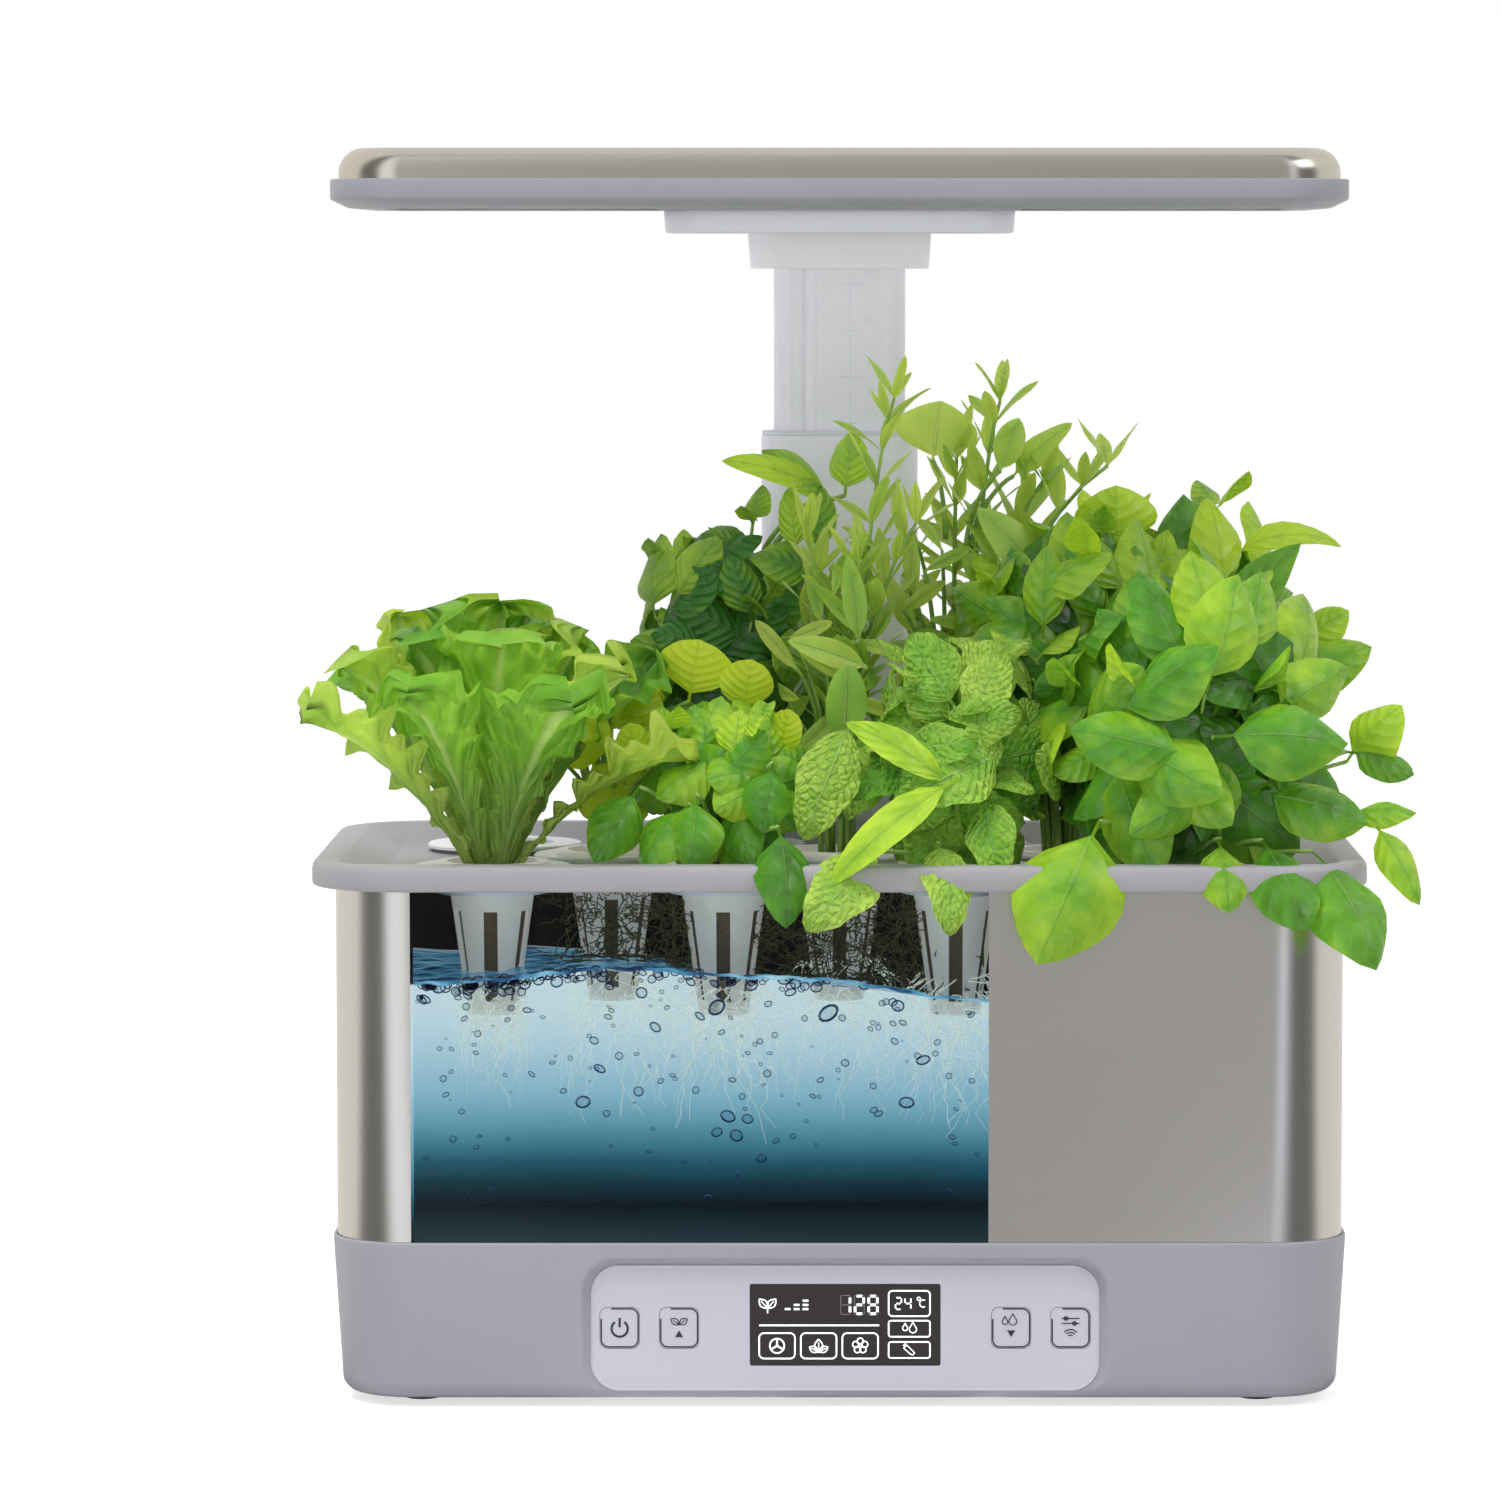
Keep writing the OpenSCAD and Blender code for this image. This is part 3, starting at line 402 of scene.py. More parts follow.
class Nodes:
    """Short hand for the node tree of a material or of the world."""

    def __init__(self, name: str, sky: bool = False) -> None:
        """Starts an empty tree.

        Args:
            name: Name of the new material or world.
            sky: Whether it is a world.
        """
        self.material = bpy.data.worlds.new(name) if sky else bpy.data.materials.new(name)
        self.material.use_nodes = True
        self.tree = self.material.node_tree
        self.tree.nodes.clear()
        self.out = self.tree.nodes.new("ShaderNodeOutputWorld" if sky else "ShaderNodeOutputMaterial")

    def shade(self, shader: Node) -> None:
        """Ends the tree in a shader."""
        self.tree.links.new(shader.outputs[0], self.out.inputs[0])

    def blend(self, share: Any, first: Node, second: Node) -> Node:
        """Mixes two shaders."""
        return self.add("MixShader", {"Fac": share, "1": first.outputs[0], "2": second.outputs[0]})

    def add(self, kind: str, inputs: dict[str, Any] | None = None, **settings: Any) -> Node:
        """Adds a node.

        Args:
            kind: Its type, without the ShaderNode prefix.
            inputs: Values or output sockets by input name.
            **settings: Plain settings of the node.

        Returns:
            The node.
        """
        node = self.tree.nodes.new("ShaderNode" + kind)
        for key, value in settings.items():
            setattr(node, key, value)
        for key, value in (inputs or {}).items():
            socket = node.inputs[int(key)] if key.isdigit() else node.inputs[key]
            if isinstance(value, Socket):
                self.tree.links.new(value, socket)
            else:
                socket.default_value = value
        return node

    def place(self) -> Socket:
        """Object coordinates, in metres."""
        return self.add("TexCoord").outputs["Object"]

    def point_value(self, name: str) -> Socket:
        """A value that the mesh gives at each point."""
        return self.add("Attribute", attribute_name=name).outputs["Fac"]

    def noise(self, scale: Sequence[float], detail: float, roughness: float = 0.5) -> Socket:
        """Noise from 0 to 1 with so many features per metre along each axis."""
        mapped = self.add("Mapping", {"Vector": self.place(), "Scale": tuple(scale)}).outputs[0]
        inputs = {"Vector": mapped, "Scale": 1.0, "Detail": detail, "Roughness": roughness}
        return self.add("TexNoise", inputs).outputs["Fac"]

    def ramp(self, value: Socket, stops: Sequence[tuple[float, Sequence[float]]]) -> Socket:
        """Colour ramp through stops of (place, colour)."""
        node = self.add("ValToRGB", {"Fac": value})
        while len(node.color_ramp.elements) < len(stops):
            node.color_ramp.elements.new(0.5)
        for element, (where, colour) in zip(node.color_ramp.elements, stops):
            element.position = where
            element.color = (*colour[:3], 1.0)
        return node.outputs["Color"]

    def spread(self, value: Socket, low: float, high: float, a: float = 0.0, b: float = 1.0) -> Socket:
        """Maps a..b to low..high."""
        inputs = {"Value": value, "From Min": a, "From Max": b, "To Min": low, "To Max": high}
        return self.add("MapRange", inputs).outputs[0]

    def maths(self, kind: str, first: Any, second: Any = 0.0) -> Socket:
        """One step of arithmetic."""
        return self.add("Math", {"0": first, "1": second}, operation=kind).outputs[0]

    def mix(self, share: Any, first: Any, second: Any) -> Socket:
        """Blend of two colours."""
        return self.add("MixRGB", {"Fac": share, "Color1": first, "Color2": second}).outputs[0]

    def vary(self, share: Socket, colour: Colour, depth: float) -> Socket:
        """A colour made darker and lighter by up to a share of itself."""
        return self.mix(share, scaled(colour, 1 - depth), scaled(colour, 1 + depth))

    def bump(self, height: Socket, strength: float, distance: float) -> Socket:
        """Normal with a relief of so many metres."""
        inputs = {"Height": height, "Strength": strength, "Distance": distance}
        return self.add("Bump", inputs).outputs[0]

    def surface(self, **inputs: Any) -> Material:
        """Ends the tree in a Principled shader with these inputs, underscores for spaces."""
        named = {key.replace("_", " "): value for key, value in inputs.items()}
        self.shade(self.add("BsdfPrincipled", named))
        return self.material


def tint(red: float, green: float, blue: float) -> Colour:
    """Linear colour from screen values of 0 to 255."""
    channels = [c / 255 for c in (red, green, blue)]
    linear = [c / 12.92 if c <= 0.04045 else ((c + 0.055) / 1.055) ** 2.4 for c in channels]
    return (linear[0], linear[1], linear[2], 1.0)


def scaled(colour: Sequence[float], share: float) -> Colour:
    """A colour made lighter or darker."""
    return (colour[0] * share, colour[1] * share, colour[2] * share, 1.0)


@dataclass(frozen=True)
class MouldedPlastic:
    """Fine-grained moulded plastic with a slight cloudiness in its colour.

    The colour drifts by a few percent over about 40 mm, and the relief is a spark-eroded grain.
    """

    name: str
    colour: Colour
    roughness: float = 0.42
    grain_m: float = 0.00006
    drift: float = 0.05
    coat: float = 0.0

    def material(self) -> Material:
        """The material."""
        n = Nodes(self.name)
        cloud, wear, grain = n.noise((26,) * 3, 3), n.noise((220,) * 3, 4), n.noise((2600,) * 3, 2)
        return n.surface(
            Base_Color=n.vary(cloud, self.colour, self.drift),
            Roughness=n.spread(wear, self.roughness - 0.06, self.roughness + 0.08),
            Normal=n.bump(grain, 0.5, self.grain_m),
            Coat_Weight=self.coat,
            Coat_Roughness=0.12,
        )


@dataclass(frozen=True)
class BrushedSteel:
    """Steel sheet brushed in one direction: long fine streaks in its gloss, tone and relief."""

    name: str
    colour: Colour
    roughness: float = 0.24
    streak: Triple = (26.0, 26.0, 1500.0)
    streak_depth: float = 0.035
    relief_m: float = 0.000002

    def material(self) -> Material:
        """The material."""
        n = Nodes(self.name)
        hair = n.noise(self.streak, 4, 0.65)
        smudge = n.spread(n.noise((14, 14, 14), 2), -0.02, 0.03)
        gloss = n.spread(hair, self.roughness - 0.01, self.roughness + 0.03)
        return n.surface(
            Base_Color=n.vary(hair, self.colour, self.streak_depth),
            Metallic=1.0,
            Roughness=n.maths("ADD", gloss, smudge),
            Normal=n.bump(hair, 0.03, self.relief_m),
        )


@dataclass(frozen=True)
class Plain:
    """Small even-coloured parts: a touch of grain and worn, lighter patches."""

    name: str
    colour: Colour
    roughness: float = 0.4
    metallic: float = 0.0
    alpha: float = 1.0
    glow: float = 0.0
    fleck: float = 0.1
    fleck_scale: float = 300.0

    def material(self) -> Material:
        """The material."""
        n = Nodes(self.name)
        fleck = n.noise((self.fleck_scale,) * 3, 3)
        return n.surface(
            Base_Color=n.vary(fleck, self.colour, self.fleck),
            Roughness=n.spread(fleck, self.roughness * 0.85, min(1.0, self.roughness * 1.2)),
            Metallic=self.metallic,
            Alpha=self.alpha,
            Emission_Color=self.colour,
            Emission_Strength=self.glow,
            Normal=n.bump(fleck, 0.3, 0.00005),
        )


@dataclass(frozen=True)
class Clear:
    """Clear sheet: it lets light through, and its gloss grows at grazing angles."""

    name: str
    colour: Colour = (0.96, 0.99, 1.0, 1.0)
    gloss: float = 0.5

    def material(self) -> Material:
        """The material."""
        n = Nodes(self.name)
        through = n.add("BsdfTransparent", {"Color": self.colour})
        wipe = n.spread(n.noise((18, 18, 18), 2), 0.02, 0.07)
        shine = n.add("BsdfGlossy", {"Roughness": wipe, "Color": (1, 1, 1, 1)})
        edge = n.add("Fresnel", {"IOR": 1.45}).outputs[0]
        n.shade(n.blend(n.maths("MULTIPLY", edge, self.gloss), through, shine))
        return n.material


@dataclass(frozen=True)
class TankWater:
    """Painted light of the water: it glows by emission, pale under the waterline and darker towards the
    floor as painted shade, and painted black shade above the waterline.

    The point value "below" is the depth under the surface in millimetres, and "height" is the
    height over the tank's floor as a share of the waterline's.
    """

    name: str = "tank_water"

    def material(self) -> Material:
        """The material."""
        n = Nodes(self.name)
        wobble = n.maths("ADD", n.point_value("height"), n.spread(n.noise((12, 12, 30), 3), -0.03, 0.03))
        # Pale under the waterline and dark towards the floor: painted shade that deepens with the depth.
        body = n.ramp(wobble, [
            (0.0, tint(8, 17, 22)), (0.09, tint(17, 50, 62)), (0.17, tint(32, 84, 100)),
            (0.25, tint(66, 122, 140)), (0.33, tint(100, 150, 168)), (0.42, tint(128, 172, 188)),
            (0.6, tint(166, 194, 206)), (0.75, tint(190, 208, 214)), (0.95, tint(200, 212, 216)),
        ])
        # Near-black air above the waterline: painted shade.
        air = n.ramp(n.noise((90, 90, 160), 4), [(0.45, tint(6, 5, 5)), (0.8, tint(26, 22, 16))])
        colour = n.mix(n.spread(n.point_value("below"), 0.0, 1.0, -0.4, 0.4), air, body)
        return n.surface(
            Base_Color=n.mix(0.75, colour, (0, 0, 0, 1)),
            Roughness=0.5,
            Specular_IOR_Level=0.1,
            # The water glows by emission, so its colour is painted light.
            Emission_Color=colour,
            Emission_Strength=0.95,
        )


@dataclass(frozen=True)
class RippledWater:
    """Top of the water: blue, with painted shade in dark streaks where ripples turn away, painted highlights
    in pale ones, and a faint glow by emission as painted light.
    """

    name: str = "rippled_water"

    def material(self) -> Material:
        """The material."""
        n = Nodes(self.name)
        streak = n.noise((45, 260, 10), 4, 0.6)
        # The dark stops are painted shade where ripples turn away, and the palest stop is a painted
        # highlight.
        colour = n.ramp(streak, [
            (0.36, tint(10, 34, 70)), (0.45, tint(44, 100, 138)), (0.56, tint(96, 158, 186)),
            (0.8, tint(190, 218, 226)),
        ])
        return n.surface(
            Base_Color=colour,
            Roughness=0.12,
            # A faint glow by emission: painted light.
            Emission_Color=colour,
            Emission_Strength=0.4,
            Normal=n.bump(streak, 0.6, 0.002),
        )


@dataclass(frozen=True)
class BubbleSkin:
    """Bubble under water: clear in the middle, with a dark blue rim painted by the facing angle as the shade
    where a bubble's edge bends light away.
    """

    name: str = "bubble_skin"

    def material(self) -> Material:
        """The material."""
        n = Nodes(self.name)
        facing = n.add("LayerWeight", {"Blend": 0.5}).outputs["Facing"]
        # Grazing parts turn to the dark blue rim: painted shade of the bubble's edge.
        share = n.spread(facing, 0.03, 1.0, 0.3, 0.5)
        through = n.add("BsdfTransparent", {"Color": (0.93, 0.97, 1.0, 1.0)})
        rim = n.add("BsdfPrincipled", {"Base Color": tint(14, 44, 92), "Roughness": 0.12})
        n.shade(n.blend(share, through, rim))
        return n.material


@dataclass(frozen=True)
class LeafSkin:
    """Leaf with lighter veins that branch from its midrib, after the leaf's own values.

    "run" goes from 0 at the stalk to 1 at the tip, "side" from -1 to 1 across, and "tone" from 0,
    old and dark, to 1, young and yellow-green; in a crown it also carries painted light on the
    upper leaves and painted shade on the inner ones. Side veins lie where run - lean |side|^1.4
    is a multiple of the spacing, and the midrib narrows towards the tip. Cells, where a leaf has
    them, are the small quilted fields between its finest veins, and foot is how pale it gets there.
    """

    name: str
    dark: Colour
    middle: Colour
    young: Colour
    veins: float = 6.0
    lean: float = 0.3
    vein_strength: float = 0.26
    puff_m: float = 0.0009
    roughness: float = 0.34
    through: float = 0.34
    rib: float = 0.06
    cells: float = 0.0
    foot: float = 0.0

    def material(self) -> Material:
        """The material."""
        n = Nodes(self.name)
        run, tone = n.point_value("run"), n.point_value("tone")
        across = n.maths("ABSOLUTE", n.point_value("side"))
        lag = n.maths("SUBTRACT", run, n.maths("MULTIPLY", n.maths("POWER", across, 1.4), self.lean))
        wave = n.maths("ABSOLUTE", n.maths("SINE", n.maths("MULTIPLY", lag, math.pi * self.veins)))
        side_vein = n.spread(wave, 0.55, 0.0, 0.0, 0.14)
        taper = n.maths("DIVIDE", across, n.spread(run, 1.0, 0.3))
        midrib = n.spread(taper, 1.0, 0.0, self.rib * 0.35, self.rib * 1.3)
        vein = n.maths("MAXIMUM", side_vein, midrib)
        patch = n.noise((90, 90, 90), 4, 0.6)
        shade = n.maths("ADD", tone, n.spread(patch, -0.3, 0.3))
        shade = n.maths("ADD", shade, n.spread(across, -0.05, 0.12))
        relief = n.maths("SUBTRACT", wave, n.maths("MULTIPLY", midrib, 1.2))
        if self.cells:
            field = n.add("TexVoronoi", {"Vector": n.place(), "Scale": 300.0}, feature="DISTANCE_TO_EDGE")
            cell = n.spread(field.outputs["Distance"], 0.0, 1.0, 0.0, 0.3)
            vein = n.maths("MAXIMUM", vein, n.spread(cell, self.cells, 0.0, 0.0, 0.5))
            relief = n.maths("ADD", relief, n.maths("MULTIPLY", cell, 1.4))
        blade = n.ramp(shade, [(0.05, self.dark), (0.5, self.middle), (0.95, self.young)])
        pale = n.mix(0.55, self.young, (0.8, 0.88, 0.55, 1.0))
        foot = n.spread(run, self.foot, 0.0, 0.05, 0.6)
        colour = n.mix(n.maths("MAXIMUM", n.maths("MULTIPLY", vein, self.vein_strength), foot), blade, pale)
        fine = n.spread(n.noise((700,) * 3, 2), 0, 0.3)
        normal = n.bump(n.maths("ADD", relief, fine), 0.8, self.puff_m)
        rough = n.spread(patch, self.roughness - 0.08, self.roughness + 0.08)
        inputs = {"Base Color": colour, "Roughness": rough, "Specular IOR Level": 0.6, "Normal": normal}
        skin = n.add("BsdfPrincipled", inputs)
        light = n.add("BsdfTranslucent", {"Color": n.mix(0.4, colour, self.young)})
        n.shade(n.blend(self.through, skin, light))
        return n.material


class Palette:
    """Every finish, made once."""

    def __init__(self) -> None:
        """Makes the materials."""
        self.shell = MouldedPlastic("shell_grey", tint(152, 152, 160), 0.4).material()
        self.rim = MouldedPlastic("rim_grey", tint(142, 141, 149), 0.36).material()
        self.deck = MouldedPlastic("deck_grey", tint(154, 152, 156), 0.4).material()
        self.cover = MouldedPlastic("cover_grey", tint(130, 131, 138), 0.55).material()
        self.panel = MouldedPlastic("panel_silver", tint(190, 190, 201), 0.3, 0.00002, 0.03, 0.2).material()
        self.mast = MouldedPlastic("mast_silver", tint(246, 243, 252), 0.34, 0.00003, 0.03).material()
        self.head = MouldedPlastic("head_silver", tint(252, 248, 255), 0.36, 0.00003, 0.03).material()
        self.plate = MouldedPlastic("plate_silver", tint(216, 215, 221), 0.36, 0.00003, 0.03).material()
        self.white = MouldedPlastic("pod_white", tint(240, 240, 243), 0.3, 0.00002, 0.02).material()
        self.steel = BrushedSteel("wrap_steel", tint(206, 204, 200)).material()
        self.lamp_steel = BrushedSteel("lamp_steel", tint(200, 196, 186), 0.24, (30, 3000, 3000)).material()
        self.pane = Clear("pane_clear", gloss=0.1).material()
        self.tank = Clear("tank_clear", (0.985, 0.995, 1.0, 1.0), 0.05).material()
        self.water = TankWater().material()
        self.ripples = RippledWater().material()
        self.bubble = BubbleSkin().material()
        self.lens = Plain("lens_dark", tint(48, 43, 46), 0.12, fleck=0.06).material()
        self.ink = Plain("key_ink", tint(43, 45, 58), 0.5).material()
        self.lit = Plain("display_lit", tint(250, 250, 252), 0.4, glow=0.9, fleck=0.02).material()
        self.faint = Plain("display_faint", tint(128, 123, 128), 0.4, glow=0.1).material()
        self.mark = Plain("scale_mark", tint(232, 233, 242), 0.4).material()
        self.rubber = Plain("foot_rubber", tint(112, 112, 116), 0.75).material()
        self.screw = Plain("screw_steel", tint(190, 190, 194), 0.3, 1.0).material()
        self.dark = Plain("dark_plastic", tint(52, 54, 60), 0.45).material()
        self.board = Plain("board_green", tint(40, 104, 62), 0.4, fleck=0.25, fleck_scale=500).material()
        self.board_white = Plain("board_white", tint(238, 239, 240), 0.4).material()
        self.chip = Plain("chip_yellow", tint(246, 214, 106), 0.3, glow=0.2).material()
        self.milk = Plain("diffuser_milk", tint(236, 238, 243), 0.35, alpha=0.8, glow=0.25).material()
        self.lead = Plain("lead_black", tint(38, 39, 42), 0.5).material()
        self.sponge = Plain("sponge_brown", tint(104, 90, 72), 0.95, fleck=0.55, fleck_scale=900).material()
        frost = tint(226, 222, 214)
        # The baskets glow faintly by emission: painted light that lifts them out of the tank's shade.
        self.basket = Plain("basket_frost", frost, 0.35, alpha=0.7, glow=0.2, fleck=0.05).material()
        # Roots glow by emission and the mat glows faintly: painted light that keeps them pale in the dark
        # tank.
        self.root = Plain("root_fibre", tint(216, 224, 214), 0.7, alpha=0.4, fleck=0.3, glow=0.6).material()
        self.mat = Plain("root_mat", tint(92, 86, 52), 0.8, fleck=0.7, fleck_scale=160, glow=0.08).material()
        self.stem = Plain("stem_green", tint(140, 176, 84), 0.5, fleck=0.25, fleck_scale=140).material()
        self.leaves: dict[Greens, Material] = {kind: kind.value.material() for kind in Greens}


class Greens(Enum):
    """Leaf finishes of the herbs."""

    BASIL = LeafSkin(
        "leaf_basil", tint(20, 66, 28), tint(88, 158, 38), tint(192, 226, 54),
        5.0, 0.34, 0.12, 0.0004, 0.28, 0.3,
    )
    LIME = LeafSkin(
        "leaf_lime", tint(178, 212, 34), tint(202, 226, 42), tint(214, 234, 56),
        6.0, 0.3, 0.08, 0.0003, through=0.5,
    )
    BALM = LeafSkin(
        "leaf_balm", tint(18, 66, 34), tint(66, 138, 48), tint(182, 220, 62),
        6.0, 0.34, 0.18, 0.0007, 0.3, 0.3,
    )
    MINT = LeafSkin(
        "leaf_mint", tint(44, 118, 28), tint(118, 190, 50), tint(200, 234, 96),
        9.0, 0.34, 0.4, 0.0009, cells=0.3,
    )
    SAGE = LeafSkin("leaf_sage", tint(92, 148, 60), tint(150, 196, 74), tint(206, 226, 96), 1.0, 0.0, 0.5)
    LETTUCE = LeafSkin(
        "leaf_lettuce", tint(60, 132, 36), tint(136, 200, 52), tint(206, 226, 96),
        8.0, 0.5, 0.5, 0.0012, through=0.5, rib=0.22, foot=0.5,
    )


# ---- Sizes shared by the pieces ----


class Bench:
    """Reads the frame's boxes in millimetres and keeps the heights that the pieces share."""

    tank_bottom = 2.6
    deck_floor_up = 2.5
    deck_band = 9.3

    def __init__(self) -> None:
        """Finds the middle of the tank, about which the body is laid out, and the main heights."""
        low, high = self.box("water_tank")
        self.y0 = float((low[1] + high[1]) / 2)
        self.tank_floor = float(low[2]) + self.tank_bottom
        self.tank_top = float(high[2])
        self.deck_floor = self.tank_top + self.deck_floor_up
        self.base_top = float(self.box("base_shell")[1][2])
        self.rim = float(self.box("grow_deck")[1][2])
        self.deck_under = self.rim - self.deck_band
        self.ring_top = float(self.box("herb_rings")[1][2])

    @staticmethod
    def box(node: str) -> tuple[Array, Array]:
        """Lowest and highest corner of a CAD node, in millimetres."""
        low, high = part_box(node)
        return np.array(low) / MM, np.array(high) / MM

    def extent(self, node: str) -> tuple[Array, Array, Pair, Pair]:
        """Lowest and highest corner of a CAD node, its width and depth, and its middle."""
        low, high = self.box(node)
        return low, high, tuple((high - low)[:2]), tuple((low + high)[:2] / 2)


# ---- Camera, floor and light ----


@dataclass(frozen=True)
class Studio:
    """Camera at the product view, a white floor and soft light."""

    lens: float = 165.6
    tilt_deg: float = 4.14
    shift_x: float = -0.0597
    distance: float = 2449.0
    eye: float = 414.0
    sky: float = 0.58
    room: tuple[tuple[float, Triple], ...] = (
        (-180, (0.9, 0.88, 0.84)), (-84, (1.0, 0.96, 0.88)), (-74, (0.22, 0.22, 0.21)),
        (-46, (0.18, 0.18, 0.17)), (-36, (1.25, 1.25, 1.29)), (-14, (1.18, 1.18, 1.21)),
        (-7, (0.47, 0.46, 0.45)), (22, (0.46, 0.455, 0.44)), (27, (1.5, 1.5, 1.7)),
        (33, (0.6, 0.6, 0.66)), (40, (0.17, 0.17, 0.17)), (68, (0.2, 0.2, 0.19)),
        (80, (0.92, 0.91, 0.85)), (180, (0.9, 0.88, 0.84)),
    )

    def camera(self, front: float) -> None:
        """Stands the camera in front of the body's face at Y = front."""
        data = bpy.data.cameras.new("product_camera")
        data.sensor_width = 36.0
        data.lens = self.lens
        data.shift_x = self.shift_x
        data.clip_end = 60.0
        camera = bpy.data.objects.new("product_camera", data)
        bpy.context.scene.collection.objects.link(camera)
        camera.location = (0.0, (front - self.distance) * MM, self.eye * MM)
        camera.rotation_euler = (math.radians(90 - self.tilt_deg), 0.0, 0.0)
        bpy.context.scene.camera = camera

    def bands(self, n: Nodes, place: Socket) -> Socket:
        """Brightness of the room round the object, by the compass angle atan2(x, -y)."""
        split = n.add("SeparateXYZ", {"0": place})
        back = n.maths("MULTIPLY", split.outputs["Y"], -1.0)
        turn = n.maths("ARCTAN2", split.outputs["X"], back)
        share = n.spread(turn, 0.0, 1.0, -math.pi, math.pi)
        stops = [((degrees + 180) / 360, colour) for degrees, colour in self.room]
        return n.ramp(share, stops)

    def seen(self, n: Nodes) -> Socket:
        """1 for camera and transmission rays, 0 for others."""
        path = n.add("LightPath")
        return n.maths("MAXIMUM", path.outputs["Is Camera Ray"], path.outputs["Is Transmission Ray"])

    def floor(self) -> None:
        """Lays a pale floor that is white to the camera and keeps the shadow."""
        n = Nodes("studio_floor")
        cloth = n.add("BsdfDiffuse", {"Color": (0.62, 0.62, 0.62, 1.0)})
        lift = n.add("Emission", {"Color": (1, 1, 1, 1), "Strength": 0.68})
        white = n.add("AddShader", {"0": cloth.outputs[0], "1": lift.outputs[0]})
        plain = n.add("BsdfDiffuse", {"Color": (0.8, 0.8, 0.8, 1.0)})
        room = n.add("Emission", {"Color": self.bands(n, n.place()), "Strength": 1.0})
        glossy = n.add("LightPath").outputs["Is Glossy Ray"]
        base = n.blend(glossy, plain, room)
        n.shade(n.blend(self.seen(n), base, white))
        reach = 30000.0
        corners = np.array([[-reach, -reach], [reach, -reach], [reach, reach], [-reach, reach]])
        points = np.column_stack([corners, np.zeros(4)])
        sheet = Surface(points, np.array([[0, 1, 2, 3]]))
        build("studio_floor", [sheet], [n.material])

    def world(self) -> None:
        """White behind the object; metal sees soft grey and bright bands round the room."""
        n = Nodes("studio", sky=True)
        bpy.context.scene.world = n.material
        soft = n.add("Background", {"Color": (0.97, 0.98, 1.0, 1.0), "Strength": self.sky})
        room = n.add("Background", {"Color": self.bands(n, n.add("TexCoord").outputs["Generated"])})
        white = n.add("Background", {"Color": (1, 1, 1, 1)})
        mirror = n.blend(n.add("LightPath").outputs["Is Glossy Ray"], soft, room)
        n.shade(n.blend(self.seen(n), mirror, white))

    def lamps(self) -> None:
        """Hangs large soft lamps in front: one level with the object and two higher up."""
        plan = [
            ("front_lamp", (-0.3, -2.9, 0.5), (2.4, 0.9), 7.5, False),
            ("key_lamp", (-0.6, -0.7, 2.5), (1.5, 1.5), 58.0, False),
            ("fill_lamp", (1.7, -1.1, 1.9), (1.2, 1.2), 12.0, True),
        ]
        for name, place, size, power, mirrored in plan:
            data = bpy.data.lights.new(name, "AREA")
            data.shape = "RECTANGLE"
            data.size, data.size_y = size
            data.energy = power
            lamp = bpy.data.objects.new(name, data)
            bpy.context.scene.collection.objects.link(lamp)
            lamp.location = place
            lamp.visible_glossy = mirrored
            aim = Vector((0.0, 0.0, 0.24)) - Vector(place)
            lamp.rotation_euler = aim.to_track_quat("-Z", "Y").to_euler()

    def build(self, front: float) -> None:
        """Sets everything up."""
        self.camera(front)
        self.floor()
        self.world()
        self.lamps()
        bpy.context.scene.view_settings.view_transform = "Standard"
        LOG.info("studio ready")


# ---- What the sub-assemblies share ----


@dataclass
class Part:
    """A sub-assembly, with the sizes and finishes that all of them share."""

    bench: Bench
    paint: Palette

    def add(
        self,
        name: str,
        surfaces: Sequence[Surface],
        materials: Sequence[Material],
        body: str,
        slot: str,
        replaces: Sequence[str] = (),
        smooth_deg: float = 180.0,
    ) -> None:
        """Builds a piece, rides it on a body, and hides the nodes that it stands for.

        Args:
            name: The piece's name.
            surfaces: What it is made of.
            materials: One material for each slot that the surfaces name.
            body: The body that carries it.
            slot: Its material slot in the record; not used.
            replaces: Nodes that it hides.
            smooth_deg: Edges sharper than this stay sharp.
        """
        piece = build(name, surfaces, materials, smooth_deg)
        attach(piece, body)
        if replaces:
            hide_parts(*replaces)
        LOG.info("%s rides on %s, %d faces", piece.name, body, len(piece.data.polygons))

    def coat(self, finishes: dict[str, Material]) -> None:
        """Gives CAD nodes their finishes."""
        for node, material in finishes.items():
            piece = frame["nodes"][node]
            piece.data.materials.clear()
            piece.data.materials.append(material)
            LOG.info("%s painted %s", node, material.name)


# ---- Base and controls ----


